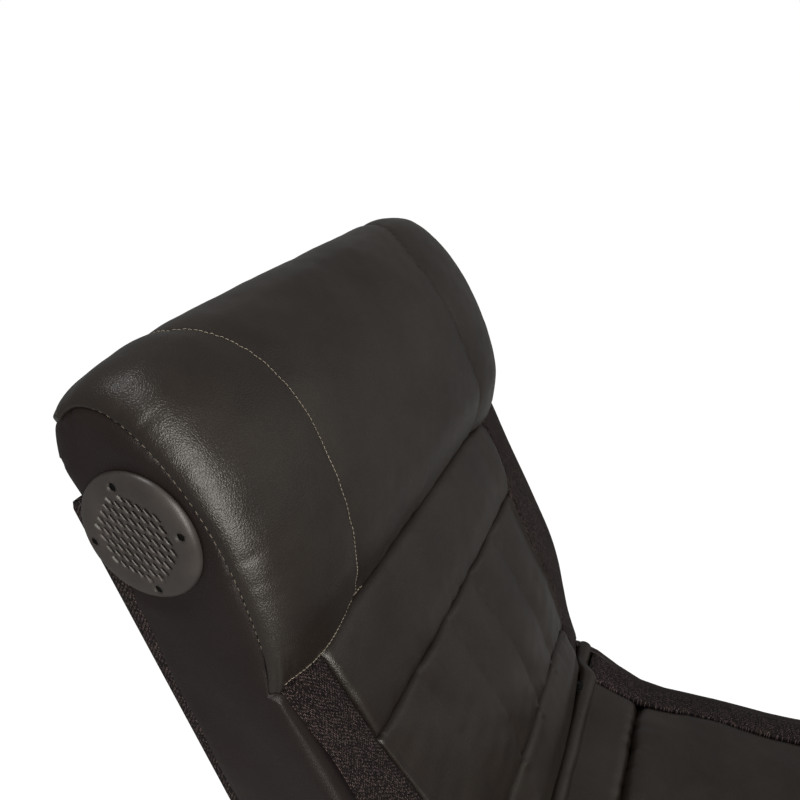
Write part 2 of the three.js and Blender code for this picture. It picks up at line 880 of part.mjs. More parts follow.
// A pad of the back between two heights; extra adds its channels.
function backPad(stations, low, high, steps, extra = () => 0, foot = []) {
  const heights = padStops(low, high, steps);
  return loft(stations, (x) => [
    ...heights.map((z) => {
      const ends = Math.max(edgeDrop(z - low), edgeDrop(high - z));
      const drop = Math.max(ends, edgeDrop(pad_half - Math.abs(x)));
      return [backFaceAt(x, z) + drop + extra(x, z), z];
    }),
    [foam_back, high],
    ...(foot.length ? foot : [[foam_back, low]]),
  ]);
}
const padStations = (steps) => padStops(-pad_half, pad_half, steps);
const foldFoot = [
  [foam_back, end_board_top + seat_gap],
  [end_board_front - seat_gap, end_board_top + seat_gap],
  [end_board_front - seat_gap, seat_gap],
];

add(
  back,
  "back_upper_pad",
  backPad(padStations(plain_pad_steps), l3_height + seat_gap, crease_height - seat_gap, pad_rows),
  vinyl,
);

// Channels run down the cushion: lobes between sewn valleys.
const channel_half = pad_half - bolster_width;
const channel_pitch = (2 * channel_half) / channel_count;
function channelDrop(x) {
  const from_border = channel_half - Math.abs(x);
  const lobe =
    from_border >= 0
      ? Math.abs(Math.sin((Math.PI * from_border) / channel_pitch))
      : Math.sin((Math.PI / 2) * Math.min(1, -from_border / (pad_half - channel_half)));
  return channel_depth * (1 - lobe ** channel_power);
}
const channel_stations = mirrorStops([
  ...spread(0, channel_half, (channel_count * channel_steps) / 2),
  ...bolster_shares.map((share) => channel_half + share * (pad_half - channel_half)),
]);
add(
  back,
  "back_channel_cushion",
  backPad(
    channel_stations,
    l4_height + seat_gap,
    l3_height - seat_gap,
    channel_rows,
    channelDrop,
  ),
  vinyl,
);
add(
  back,
  "back_lower_roll",
  cut(
    backPad(
      padStations(plain_pad_steps),
      seat_gap,
      l4_height - seat_gap,
      pad_rows,
      () => 0,
      foldFoot,
    ),
    ...hingePockets(0, 0),
    ...slotTool(backStrap(hinge_pocket_gap), back_leaf_x),
  ),
  vinyl,
);
addPair(
  back,
  "back_mesh_strip",
  () =>
    loft(spread(strip_inner_x, inside_half, strip_columns), (x) => [
      ...spread(seat_gap, crease_height - seat_gap, strip_rows).map((z) => [backFaceAt(x, z), z]),
      [foam_back, crease_height - seat_gap],
      ...foldFoot,
    ]),
  mesh_cloth,
);

// Loudspeakers

const ring = (radius, x) => [radius, x];
const atSpeaker = (geometry) => geometry.translate(0, speaker_y, speaker_height);
addPair(
  back,
  "speaker_basket",
  () => {
    const flange_x = inside_half - driver_flange_wall;
    const bore = coil_radius + coil_gap;
    const profile = [
      ring(bore, basket_rear_x),
      ring(basket_rear_radius, basket_rear_x),
      ring(basket_mouth_radius, flange_x),
      ring(driver_flange_radius, flange_x),
      ring(driver_flange_radius, inside_half),
      ring(basket_mouth_radius - basket_wall, inside_half),
      ring(basket_mouth_radius - basket_wall, flange_x),
      ring(basket_rear_radius - basket_wall, basket_rear_x + basket_wall),
      ring(bore, basket_rear_x + basket_wall),
      ring(bore, basket_rear_x),
    ];
    return atSpeaker(turned(profile, pin_sides));
  },
  frame_steel,
);
addPair(
  back,
  "speaker_magnet",
  () => speakerRod(magnet_radius, magnet_rear_x, basket_rear_x - seat_gap),
  frame_steel,
);
addPair(
  back,
  "speaker_cone",
  () => {
    const mouth_x = inside_half - cone_travel;
    const neck_x = mouth_x - cone_depth;
    const coil_x = basket_rear_x + cone_travel;
    const cap = spread(0, Math.PI / 2, cap_steps).map((angle) =>
      ring(cone_neck_radius * Math.sin(angle), neck_x + dust_cap_height * Math.cos(angle)),
    );
    const profile = [
      ...cap,
      ring(cone_radius, mouth_x),
      ring(cone_radius, mouth_x - cone_wall),
      ring(cone_neck_radius, neck_x - cone_wall),
      ring(coil_radius, neck_x - cone_wall),
      ring(coil_radius, coil_x),
      ring(0, coil_x),
    ];
    return atSpeaker(turned(profile, pin_sides));
  },
  cone_paper,
);

// The grille: a domed rim round a field of slanted slots, on the face of the side panel.
const grille_x = half_width + seat_gap;
const rim_slope_x = grille_x + grille_rim_height * rim_slope_share;
const rim_edge_x = grille_x + grille_rim_height * rim_edge_share;
const field_front_x = grille_x + grille_rim_height - grille_wall;
const screw_seat_x = rim_slope_x - screw_head_height;

function slotHoles() {
  const holes = [];
  const reach = grille_field_radius - grille_slot_length / 2 - grille_slot_width / 2;
  const rows = Math.floor(reach / grille_row_pitch);
  const columns = Math.ceil(reach / grille_slot_pitch);
  for (let row = -rows; row <= rows; row++) {
    const shift = row % 2 ? grille_slot_pitch / 2 : 0;
    for (let column = -columns; column <= columns; column++) {
      const y = column * grille_slot_pitch + shift;
      const z = row * grille_row_pitch;
      if (Math.hypot(y, z) > reach) continue;
      const [long, high, slant] = [
        grille_slot_length / 2,
        grille_slot_width / 2,
        grille_slot_slant / 2,
      ];
      holes.push(
        [
          [y - long, z - high - slant],
          [y + long, z - high + slant],
          [y + long, z + high + slant],
          [y - long, z + high - slant],
        ].map(([a, b]) => [a + speaker_y, b + speaker_height]),
      );
    }
  }
  return holes;
}

addPair(
  back,
  "speaker_grille",
  () => {
    const inner = grille_field_radius;
    const rim = turned([
      ring(inner, field_front_x),
      ring(inner, field_front_x + grille_wall),
      ring(screw_ring_radius - screw_head_radius, grille_x + grille_rim_height),
      ring(screw_ring_radius + screw_head_radius, rim_slope_x),
      ring(grille_radius, rim_edge_x),
      ring(grille_radius, grille_x),
      ring(driver_hole_radius, grille_x),
      ring(driver_hole_radius, field_front_x),
      ring(inner, field_front_x),
    ]);
    const field = plate(
      circle(inner + grille_wall, speaker_y, speaker_height),
      field_front_x,
      field_front_x + grille_wall,
      slotHoles(),
    );
    const bores = screw_places.flatMap(([y, z]) => [
      rod(screw_hole_radius, grille_x - cut_overrun, rim_slope_x + cut_overrun, y, z, small_sides),
      rod(
        screw_head_radius + screw_hole_gap,
        screw_seat_x - seat_gap,
        rim_slope_x + cut_overrun,
        y,
        z,
        small_sides,
      ),
    ]);
    return cut(join(atSpeaker(rim), field), ...bores);
  },
  grille_plastic,
);
screw_places.forEach(([y, z], i) =>
  addPair(
    back,
    "grille_screw_" + (i + 1),
    () =>
      turned(
        [
          ring(0, screw_seat_x - screw_length),
          ring(screw_shank_radius, screw_seat_x - screw_length),
          ring(screw_shank_radius, screw_seat_x),
          ring(screw_head_radius, screw_seat_x),
          ring(screw_head_radius, screw_seat_x + screw_head_height),
          ring(0, screw_seat_x + screw_head_height),
        ],
        small_sides,
      ).translate(0, y, z),
    black_plastic,
  ),
);

// Boards under the seat

const panel_angle = front_angle + seat_gap / body_radius / degree;
const undersideInnerAt = (y) =>
  rocker_centre_z -
  Math.sqrt((body_radius - underside_wall - seat_gap) ** 2 - (y - rocker_y) ** 2);
add(
  group,
  "seat_deck",
  cut(
    block(-inside_half, inside_half, front_board_y, roll_rear_y, deck_under_z, deck_top_z),
    ...slotTool(seatStrap(hinge_pocket_gap), seat_leaf_x),
  ),
  plywood,
);
add(
  group,
  "seat_front_board",
  block(
    -inside_half,
    inside_half,
    front_board_y,
    front_board_y + board_wall,
    undersideInnerAt(front_board_y),
    deck_under_z - seat_gap,
  ),
  plywood,
);
add(
  fold,
  "seat_end_board",
  block(
    -inside_half,
    inside_half,
    end_board_front,
    rear_panel_front - seat_gap,
    -end_board_top,
    -seat_gap,
  ),
  plywood,
);
const corner = rearCorner(0);
add(
  fold,
  "seat_rear_panel",
  block(
    -half_width,
    half_width,
    rear_panel_front,
    back_depth,
    corner.drop + seat_gap,
    -seat_gap,
  ),
  mesh_cloth,
);
add(
  group,
  "underside_panel",
  plate(
    [
      ...undersideLine(0, panel_angle),
      ...undersideLine(underside_wall, panel_angle).reverse(),
    ],
    -inside_half,
    inside_half,
  ),
  hardboard,
);
addPair(
  group,
  "rocker_rib",
  () => {
    const [corner_y] = rockerPoint(body_radius, corner.start);
    const rib_rear_y = corner_y - rib_rear_inset;
    const stops = spread(front_board_y + board_wall + seat_gap, rib_rear_y, sole_steps);
    const low = stops.map((y) => [y, undersideInnerAt(y)]);
    const top = deck_under_z - seat_gap;
    const outline = [...low, [rib_rear_y, top], [stops[0], top]];
    return plate(outline, rib_inner_x, rib_inner_x + rib_wall);
  },
  plywood,
);

// Rocker runners, each with a flat at its lowest line
addPair(
  group,
  "rocker_runner",
  () => {
    const flat_angle = Math.asin(floor_flat_half / rocker_radius) / degree;
    const sole = [
      ...spread(runner_front_angle, -flat_angle, sole_steps),
      ...spread(flat_angle, runner_rear_angle, flat_steps),
    ].map((angle) => rockerPoint(rocker_radius, angle));
    const top = spread(runner_rear_angle, runner_front_angle, sole_steps).map((angle) =>
      rockerPoint(body_radius + seat_gap, angle),
    );
    return plate([...sole, ...top], runner_inner_x, runner_outer_x);
  },
  rubber,
);

// Side panels of the seat; the right one has the window of the control panel

const control_x = half_width + seat_gap;
const control_face_x = control_x + control_wall;
const roundedRectangle = (half_y, half_z, radius) =>
  [
    [1, -1],
    [1, 1],
    [-1, 1],
    [-1, -1],
  ].flatMap(([a, b], i) =>
    spread((i - 1) * quarter_turn, i * quarter_turn, corner_steps).map((angle) => [
      control_y + a * (half_y - radius) + radius * Math.cos(angle * degree),
      control_z + b * (half_z - radius) + radius * Math.sin(angle * degree),
    ]),
  );
const window_half = [
  control_length / 2 - control_window_border,
  control_height / 2 - control_window_border,
];
const controlWindow = () => roundedRectangle(...window_half, control_corner / 2);

function seatSideOutline() {
  const [start_y] = foldPoint([backEdgeAt(0), -seat_gap]);
  const top = spread(start_y, nose_top_y, edge_steps)
    .slice(1)
    .map((y) => [y, seatEdgeAt(Math.min(y, fold_y))]);
  return [
    foldPoint([backEdgeAt(0), -seat_gap]),
    ...top.filter(([y]) => y < fold_y),
    ...noseLine(seatEdgeAt(nose_top_y)),
    ...undersideLine(0).slice(1),
    foldPoint([rear_panel_front - seat_gap, corner.drop]),
    foldPoint([rear_panel_front - seat_gap, -seat_gap]),
  ];
}
sides.forEach(([word, side]) =>
  add(
    group,
    "seat_side_panel_" + word,
    mirrored(
      plate(
        seatSideOutline(),
        half_width - side_panel_wall,
        half_width,
        side < 0 ? [controlWindow()] : [],
      ),
      side,
    ),
    vinyl,
  ),
);

// Cushions of the seat

// Where the top of the seat meets the fold, for a section at x.
const foldLip = (x, drop) => foldPoint([backFaceAt(x, 0) + drop, -seat_gap]);
const deck_seat_z = deck_top_z + seat_gap;
const roll_floor = [
  foldPoint([end_board_front - seat_gap, -seat_gap]),
  [roll_rear_y, deck_seat_z],
];
const noseFloor = [
  rockerPoint(body_radius - underside_wall - seat_gap, front_angle),
  [front_board_y - seat_gap, undersideInnerAt(front_board_y - seat_gap)],
  [front_board_y - seat_gap, deck_seat_z],
];

add(
  group,
  "seat_rear_roll",
  cut(
    loft(padStations(plain_pad_steps), (x) => [
      ...padStops(roll_front_y + seat_gap, fold_y - roll_lip, pad_rows).map((y) => {
        const ends = edgeDrop(y - roll_front_y - seat_gap);
        const drop = Math.max(ends, edgeDrop(pad_half - Math.abs(x)));
        return [y, seatTopAt(x, y) - drop];
      }),
      foldLip(x, pad_edge_depth),
      ...roll_floor,
      [roll_front_y + seat_gap, deck_seat_z],
    ]),
    ...hingePockets(fold_y, fold_z),
    ...slotTool(seatStrap(hinge_pocket_gap), seat_leaf_x),
    ...slotTool(backStrap(hinge_pocket_gap).map(foldPoint), back_leaf_x),
  ),
  vinyl,
);
const seatStops = () => {
  const rear = roll_front_y - seat_gap;
  const near = edge_stop_shares.map((share) => rear - share * pad_edge_radius);
  return [...near, ...spread(near.at(-1), nose_top_y, seat_rows).slice(1)];
};
add(
  group,
  "seat_cushion",
  loft(padStations(seat_columns), (x) => {
    const side_drop = edgeDrop(pad_half - Math.abs(x));
    const top = seatStops().map((y) => {
      const drop = Math.max(edgeDrop(roll_front_y - seat_gap - y), side_drop);
      return [y, seatTopAt(x, y) - drop];
    });
    return [
      ...top,
      ...noseLine(top.at(-1)[1]),
      ...noseFloor,
      [roll_front_y - seat_gap, deck_seat_z],
    ];
  }),
  vinyl,
);
addPair(
  group,
  "seat_mesh_strip",
  () =>
    loft(spread(strip_inner_x, inside_half, strip_columns), (x) => {
      const top = spread(fold_y - roll_lip, nose_top_y, strip_rows).map((y) => [
        y,
        seatTopAt(x, y),
      ]);
      return [
        foldLip(x, 0),
        ...top,
        ...noseLine(top.at(-1)[1]),
        ...noseFloor,
        ...roll_floor.toReversed(),
      ];
    }),
  mesh_cloth,
);

// Control panel

const inControl = (offset_y, offset_z) => [control_y + offset_y, control_z + offset_z];
const knob_spacing = knob_spacing_share * control_length;
const bass_knob_offset = bass_knob_share * control_length;
const small_column = small_column_share * control_length;
const column_pitch = column_pitch_share * control_length;
const volume_place = inControl(bass_knob_offset - knob_spacing, 0);
const bass_place = inControl(bass_knob_offset, 0);
const power_place = inControl(small_column, row_offset);
const led_place = inControl(small_column, -row_offset);
const audio_place = inControl(small_column + column_pitch, row_offset);
const headphone_place = inControl(small_column + column_pitch, -row_offset);
const inlet_place = inControl(small_column + 2 * column_pitch, 0);
const onRight = (name, geometry, material) =>
  add(group, name, mirrored(geometry, -1), material);
const hole = (radius, place) => circle(radius + running_gap, ...place, pin_sides);

onRight(
  "control_plate",
  plate(
    roundedRectangle(control_length / 2, control_height / 2, control_corner),
    control_x,
    control_face_x,
    [
      hole(knob_shaft_radius, volume_place),
      hole(knob_shaft_radius, bass_place),
      hole(button_radius, power_place),
      hole(led_radius, led_place),
      hole(jack_radius, audio_place),
      hole(jack_radius, headphone_place),
      hole(inlet_radius, inlet_place),
    ],
  ),
  black_plastic,
);

const amp_back_x = inside_half - amp_depth;
const amp_half = [control_length / 2, control_height / 2];
const ampBlock = (inset, x0, x1) =>
  block(
    x0,
    x1,
    control_y - amp_half[0] + inset,
    control_y + amp_half[0] - inset,
    control_z - amp_half[1] + inset,
    control_z + amp_half[1] - inset,
  );
const standoff_places = [-1, 1].flatMap((a) =>
  [-1, 1].map((b) =>
    inControl(
      a * (amp_half[0] - amp_wall - 2 * board_corner_inset),
      b * (amp_half[1] - amp_wall - 2 * board_corner_inset),
    ),
  ),
);
const circuit_x = amp_back_x + amp_wall + standoff_height + seat_gap;
onRight(
  "amplifier_box",
  join(
    cut(
      ampBlock(0, amp_back_x, inside_half),
      ampBlock(amp_wall, amp_back_x + amp_wall, inside_half + cut_overrun),
    ),
    ...standoff_places.map(([y, z]) =>
      rod(
        board_corner_inset / 2,
        amp_back_x + amp_wall / 2,
        circuit_x - seat_gap,
        y,
        z,
        small_sides,
      ),
    ),
  ),
  black_plastic,
);
onRight(
  "circuit_board",
  ampBlock(amp_wall + board_corner_inset, circuit_x, circuit_x + circuit_wall),
  circuit_green,
);

function knob([y, z]) {
  const back_x = control_face_x + knob_gap;
  const grip_radius = knob_radius - knob_taper;
  return turned([
    ring(0, control_x - knob_shaft_length),
    ring(knob_shaft_radius, control_x - knob_shaft_length),
    ring(knob_shaft_radius, back_x),
    ring(knob_radius, back_x),
    ring(knob_radius, back_x + knob_skirt),
    ring(grip_radius, back_x + knob_skirt),
    ring(grip_radius - knob_taper, back_x + knob_height),
    ring(0, back_x + knob_height),
  ]).translate(0, y, z);
}
const marker = ([y, z]) =>
  block(
    control_face_x + knob_gap + knob_height - marker_depth,
    control_face_x + knob_gap + knob_height + cut_overrun,
    y - marker_width / 2,
    y + marker_width / 2,
    z + marker_width,
    z + knob_radius,
  );
onRight("volume_knob", cut(knob(volume_place), marker(volume_place)), black_plastic);
onRight("bass_knob", cut(knob(bass_place), marker(bass_place)), black_plastic);
onRight(
  "power_button",
  rod(
    button_radius,
    control_x - button_depth,
    control_face_x + button_pressed_proud + button_travel,
    ...power_place,
    pin_sides,
  ),
  grille_plastic,
);
onRight(
  "power_led",
  rod(led_radius, control_x - led_length, control_face_x + led_proud, ...led_place, small_sides),
  led_lens,
);

// A socket: a closed barrel with a bore from its face.
const socket = (radius, bore, [y, z]) =>
  turned(
    [
      ring(0, control_x - jack_length),
      ring(radius, control_x - jack_length),
      ring(radius, control_face_x + jack_proud),
      ring(bore, control_face_x + jack_proud),
      ring(bore, control_x - jack_length + jack_rear_wall),
      ring(0, control_x - jack_length + jack_rear_wall),
    ],
    pin_sides,
  ).translate(0, y, z);
onRight("audio_in_jack", socket(jack_radius, jack_bore_radius, audio_place), bright_steel);
onRight("headphone_jack", socket(jack_radius, jack_bore_radius, headphone_place), bright_steel);
onRight("dc_inlet", socket(inlet_radius, inlet_bore_radius, inlet_place), black_plastic);

export default group;
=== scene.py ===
"""Looks of a gaming rocker chair: grained vinyl, woven mesh and stitching around its solids.

Lengths are metres. The cushions of the back are made in its own frame, whose origin is the fold
axis: x across, y rearwards, z up the back. The seat's pieces are made in the chair's frame.
"""
import json
import math

import bmesh
import bpy
import numpy as np
from mathutils import Matrix, Vector
from mathutils.geometry import delaunay_2d_cdt
from numpy.linalg import norm


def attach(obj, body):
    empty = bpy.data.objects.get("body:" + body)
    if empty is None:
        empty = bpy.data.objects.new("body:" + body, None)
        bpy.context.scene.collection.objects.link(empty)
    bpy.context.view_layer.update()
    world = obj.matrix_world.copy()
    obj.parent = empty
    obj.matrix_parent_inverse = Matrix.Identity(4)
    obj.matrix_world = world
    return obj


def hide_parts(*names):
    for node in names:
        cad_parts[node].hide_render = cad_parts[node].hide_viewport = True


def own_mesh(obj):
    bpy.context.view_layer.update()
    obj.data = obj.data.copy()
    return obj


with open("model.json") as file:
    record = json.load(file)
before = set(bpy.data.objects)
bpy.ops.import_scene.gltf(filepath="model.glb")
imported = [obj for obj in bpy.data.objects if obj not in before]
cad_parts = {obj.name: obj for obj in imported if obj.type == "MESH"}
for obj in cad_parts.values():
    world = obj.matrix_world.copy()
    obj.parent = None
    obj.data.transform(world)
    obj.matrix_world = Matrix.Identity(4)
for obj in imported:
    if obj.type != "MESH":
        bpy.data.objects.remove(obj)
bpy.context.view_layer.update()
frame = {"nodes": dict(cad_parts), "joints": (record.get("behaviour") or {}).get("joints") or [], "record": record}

MM = 0.001
GAP = 0.3 * MM
SIDES = (("right", -1), ("left", 1))

joints = {j["name"]: j for j in frame["joints"]}
FOLD = np.array(joints["back_fold"]["pos_m"])
LEAN = math.radians(23)
COS, SIN = math.cos(LEAN), math.sin(LEAN)


def leaning(p):
    """Points of the back's own frame as points of the chair."""
    p = np.asarray(p, float)
    y, z = p[..., 1], p[..., 2]
    return np.stack([p[..., 0], FOLD[1] + y * COS + z * SIN, FOLD[2] - y * SIN + z * COS], -1)


def upright(p):
    """Points of the chair as points of the back's own frame."""
    p = np.asarray(p, float)
    y, z = p[..., 1] - FOLD[1], p[..., 2] - FOLD[2]
    return np.stack([p[..., 0], y * COS - z * SIN, y * SIN + z * COS], -1)


def leaning_way(v):
    """A direction of the back's own frame as one of the chair's."""
    return leaning(v) - leaning(np.zeros(3))


def points_of(node):
    """A node's vertices, in the chair's frame."""
    return np.array([v.co for v in frame["nodes"][node].data.vertices])


def corners(node, own_frame=False):
    """Lowest and highest corner of a node, in the chair's frame or the back's own."""
    co = upright(points_of(node)) if own_frame else points_of(node)
    return co.min(0), co.max(0)


# Sizes read from the solids
PANEL_LOW, PANEL_HIGH = corners("back_side_panel_left", True)
HALF, INNER = PANEL_HIGH[0], PANEL_LOW[0] - GAP
REAR_LOW, REAR_HIGH = corners("back_rear_panel", True)
REAR_INSIDE, REAR_FACE, REAR_TOP = REAR_LOW[1], REAR_HIGH[1], REAR_HIGH[2]
CHANNEL_LOW, CHANNEL_HIGH = corners("back_channel_cushion", True)
PAD_HALF, FOAM_BACK = CHANNEL_HIGH[:2]
CREASE = corners("back_upper_pad", True)[1][2] + GAP
HEADREST_HEIGHT = PANEL_HIGH[2] - CREASE
L3, L4 = CHANNEL_HIGH[2] + GAP, CHANNEL_LOW[2] - GAP  # seams over and under the channels
SEAT_FRONT = corners("seat_cushion")[0][1]
L6 = corners("seat_cushion")[1][1] + GAP  # the seam between the seat's cushion and its rear roll
DECK_TOP = corners("seat_deck")[1][2]
FRONT_BOARD = corners("seat_front_board")[0][1]
END_BOARD = corners("back_end_board", True)[0][1] - GAP
INNER_TOP = corners("back_board", True)[1][2]
GRILLE_LOW, GRILLE_HIGH = corners("speaker_grille_left", True)
GRILLE_R = (GRILLE_HIGH[1] - GRILLE_LOW[1]) / 2
SPEAKER = (GRILLE_LOW[1:] + GRILLE_HIGH[1:]) / 2

# Sizes that the solids were made with
REAR_VINYL = REAR_FACE - 4 * MM
HEADREST_DEPTH = 101 * MM
SEAT_HEIGHT = FOLD[2] + 5 * MM
SEAT_LENGTH = FOLD[1] - SEAT_FRONT
HOLE_R = 29 * MM

# The same outlines as the solids', as shares of those sizes
EDGE_POWER = 2.5
RIM_SHARES = [(0, 0.845), (0.12, 0.956), (0.36, 1), (0.59, 0.963), (0.76, 0.876), (0.89, 0.744),
              (0.97, 0.594), (1, 0.43), (0.98, 0.274), (0.935, 0.129), (0.845, 0)]
EDGE_SHARES = [(0, 0.168), (0.12, 0.16), (0.23, 0.124), (0.35, 0.08), (0.47, 0.071),
               (0.62, 0.106), (0.81, 0.16), (1, 0.221)]
MIDDLE_SHARES = [(0, 0.02), (0.03, -0.012), (0.07, -0.044), (0.12, -0.07), (0.18, -0.065),
                 (0.3, -0.058), (0.43, -0.035), (0.55, 0.035), (0.69, 0.1), (0.82, 0.085), (1, 0.125)]
SEAT_EDGE_SHARES = [(0, 0.945), (0.06, 0.872), (0.16, 0.8), (0.3, 0.823), (0.44, 0.836),
                    (0.6, 0.875), (0.78, 0.915), (0.9, 0.92)]
SEAT_MIDDLE_SHARES = [(0, 0.97), (0.06, 0.958), (0.13, 0.935), (0.24, 0.905), (0.36, 0.9),
                      (0.5, 0.915), (0.68, 0.965), (0.82, 1), (0.9, 0.99)]
NOSE_TOP_SHARE = 0.9
NOSE_SHARES = [(0, 1), (0.3, 0.955), (0.72, 0.8), (0.97, 0.52), (0.9, 0.2), (0.62, 0)]


def lengths(line):
    """How far along a line each of its points lies."""
    return np.r_[0, np.cumsum(norm(np.diff(line, axis=0), axis=1))]


def resample(line, steps):
    length = lengths(line)
    at = np.linspace(0, length[-1], steps + 1)
    return np.stack([np.interp(at, length, line[:, k]) for k in range(line.shape[1])], -1)


def curve(points, steps=400):
    """A smooth line through points, sampled evenly."""
    p = np.asarray(points, float)
    p = np.vstack([2 * p[0] - p[1], p, 2 * p[-1] - p[-2]])
    t = np.linspace(0, 1, 40, endpoint=False)[:, None]
    out = []
    for a, b, c, d in zip(p, p[1:], p[2:], p[3:]):
        out.append(0.5 * (2 * b + (c - a) * t + (2 * a - 5 * b + 4 * c - d) * t**2
                          + (3 * b - a - 3 * c + d) * t**3))
    return resample(np.vstack([*out, p[-2:-1]]), steps)


def reader(points):
    """A smooth line's second value as a function of its first."""
    line = curve(points)
    line = line[np.argsort(line[:, 0])]
    return lambda at: np.interp(at, line[:, 0], line[:, 1])


back_edge, back_middle = (reader([(a * CREASE, b * REAR_FACE) for a, b in shares])
                          for shares in (EDGE_SHARES, MIDDLE_SHARES))
seat_edge, seat_middle = (reader([(FOLD[1] - a * SEAT_LENGTH, b * SEAT_HEIGHT) for a, b in shares])
                          for shares in (SEAT_EDGE_SHARES, SEAT_MIDDLE_SHARES))


def edge_share(x):
    return (np.abs(x) / HALF) ** EDGE_POWER


def back_face(x, z):
    """Front of the back, in its own frame."""
    return back_middle(z) + (back_edge(z) - back_middle(z)) * edge_share(x)


def seat_top(x, y):
    return seat_middle(y) + (seat_edge(y) - seat_middle(y)) * edge_share(x)


def smoothstep(x, low, high):
    t = np.clip((x - low) / (high - low), 0, 1)
    return t * t * (3 - 2 * t)


def bell(x, width):
    """1 at 0, falling off within about this many millimetres."""
    return np.exp(-(x / (width * MM)) ** 2)


def roll_off(distance, radius, depth):
    """How far a padded edge falls away at this distance inside it; radius and depth in millimetres."""
    share = np.clip(1 - distance / (radius * MM), 0, 1)
    return depth * MM * (1 - np.sqrt(1 - share**2))


def lumps(a, b, size, seed, count=12):
    """A smooth random field over a plane, mostly within -1 and 1; size in millimetres."""
    rng = np.random.default_rng(seed)
    total = 0
    for _ in range(count):
        angle, size_now = rng.uniform(0, math.pi), size * MM * rng.uniform(0.7, 1.5)
        phase = rng.uniform(0, 2 * math.pi)
        along = a * math.cos(angle) + b * math.sin(angle)
        total = total + np.cos(2 * math.pi / size_now * along + phase)
    return total / (1.6 * math.sqrt(count / 2))


def gathers(x, pitch, seed):
    """Narrow valleys at uneven places along a seam, 0 to 1; pitch in millimetres."""
    zero = np.zeros_like(x)
    phase = math.pi * x / (pitch * MM) + 1.3 * lumps(x, zero, 5 * pitch, seed)
    valley = (1 - np.abs(np.sin(phase))) ** 2.2
    return valley * np.clip(0.6 + 0.6 * lumps(x, zero, 3 * pitch, seed + 1), 0.05, 1.3)


def spaced(low, high, step):
    return np.linspace(low, high, max(2, int(round(abs(high - low) / step)) + 1))


# Materials

class Tree:
    """The nodes of a material or a world. An input takes a value or another node's output."""

    def __init__(self, owner):
        owner.use_nodes = True
        self.owner, self.nodes, self.links = owner, owner.node_tree.nodes, owner.node_tree.links

    def put(self, socket, value):
        if isinstance(value, bpy.types.NodeSocket):
            self.links.new(value, socket)
        elif value is not None:
            socket.default_value = value

    def feed(self, node, **inputs):
        for key, value in inputs.items():
            self.put(node.inputs[key.replace("_", " ")], value)
        return node

    def add(self, kind, **inputs):
        return self.feed(self.nodes.new("ShaderNode" + kind), **inputs)

    def math(self, operation, *values, clamp=False):
        node = self.add("Math")
        node.operation, node.use_clamp = operation, clamp
        for socket, value in zip(node.inputs, values):
            self.put(socket, value)
        return node.outputs[0]

    def noise(self, where, scale, detail=2.0, roughness=0.5, output="Fac"):
        node = self.add("TexNoise", Vector=where, Scale=scale, Detail=detail, Roughness=roughness)
        return node.outputs[output]

    def ramp(self, factor, *stops):
        node = self.add("ValToRGB", Fac=factor)
        for element, (place, colour) in zip(node.color_ramp.elements, stops):
            element.position, element.color = place, (*colour, 1)
        return node.outputs["Color"]

    def bump(self, height, strength, distance, under=None):
        node = self.add("Bump", Strength=strength, Distance=distance, Height=height, Normal=under)
        return node.outputs["Normal"]

    def stretched(self, where, scale):
        return self.add("Mapping", Vector=where, Scale=scale).outputs[0]

    def finish(self, **inputs):
        self.feed(self.nodes["Principled BSDF"], **inputs)
        return self.owner

    def finish_uneven(self, source, amount, rough, **inputs):
        """The roughness differs over the surface by up to half of this amount each way."""
        uneven = self.math("MULTIPLY", self.math("SUBTRACT", source, 0.5), amount)
        return self.finish(Roughness=self.math("ADD", uneven, rough, clamp=True), **inputs)

    def seen(self):
        """1 where the camera looks past the chair, also through glass, and less in its gloss."""
        path = self.add("LightPath").outputs
        direct = self.math("MAXIMUM", path["Is Camera Ray"], path["Is Transmission Ray"])
        return self.math("MAXIMUM", direct, self.math("MULTIPLY", path["Is Glossy Ray"], GLOSSY_SHARE))


def material(name):
    """A new material's nodes, and the place of a point on its object."""
    tree = Tree(bpy.data.materials.new(name))
    return tree, tree.add("TexCoord").outputs["Object"]


def grained_vinyl(name, dark, light, rough, shine=0.5):
    """Near-black vinyl with a pebbled grain, faint scuffs and small creases."""
    made, where = material(name)
    patches = made.noise(where, 14, 3)
    scuffs = made.noise(where, 60, 5, 0.7)
    bent = made.add("VectorMath")
    bent.operation = "MULTIPLY_ADD"
    wobble = made.noise(where, 420.0, 1.0, output="Color")
    for socket, value in zip(bent.inputs, (wobble, (0.0011,) * 3, where)):
        made.put(socket, value)
    cells = made.add("TexVoronoi")
    cells.feature = "DISTANCE_TO_EDGE"
    made.feed(cells, Vector=bent.outputs[0], Scale=620.0, Randomness=0.95)
    pebble = made.math("MULTIPLY", cells.outputs["Distance"], 3.2, clamp=True)
    creases = made.noise(where, 95, 4, 0.62)
    return made.finish_uneven(scuffs, 0.22, rough, Specular_IOR_Level=shine,
                              Base_Color=made.ramp(patches, (0.3, dark), (0.72, light)),
                              Normal=made.bump(pebble, 0.42, 0.00022, made.bump(creases, 0.3, 0.0006)))


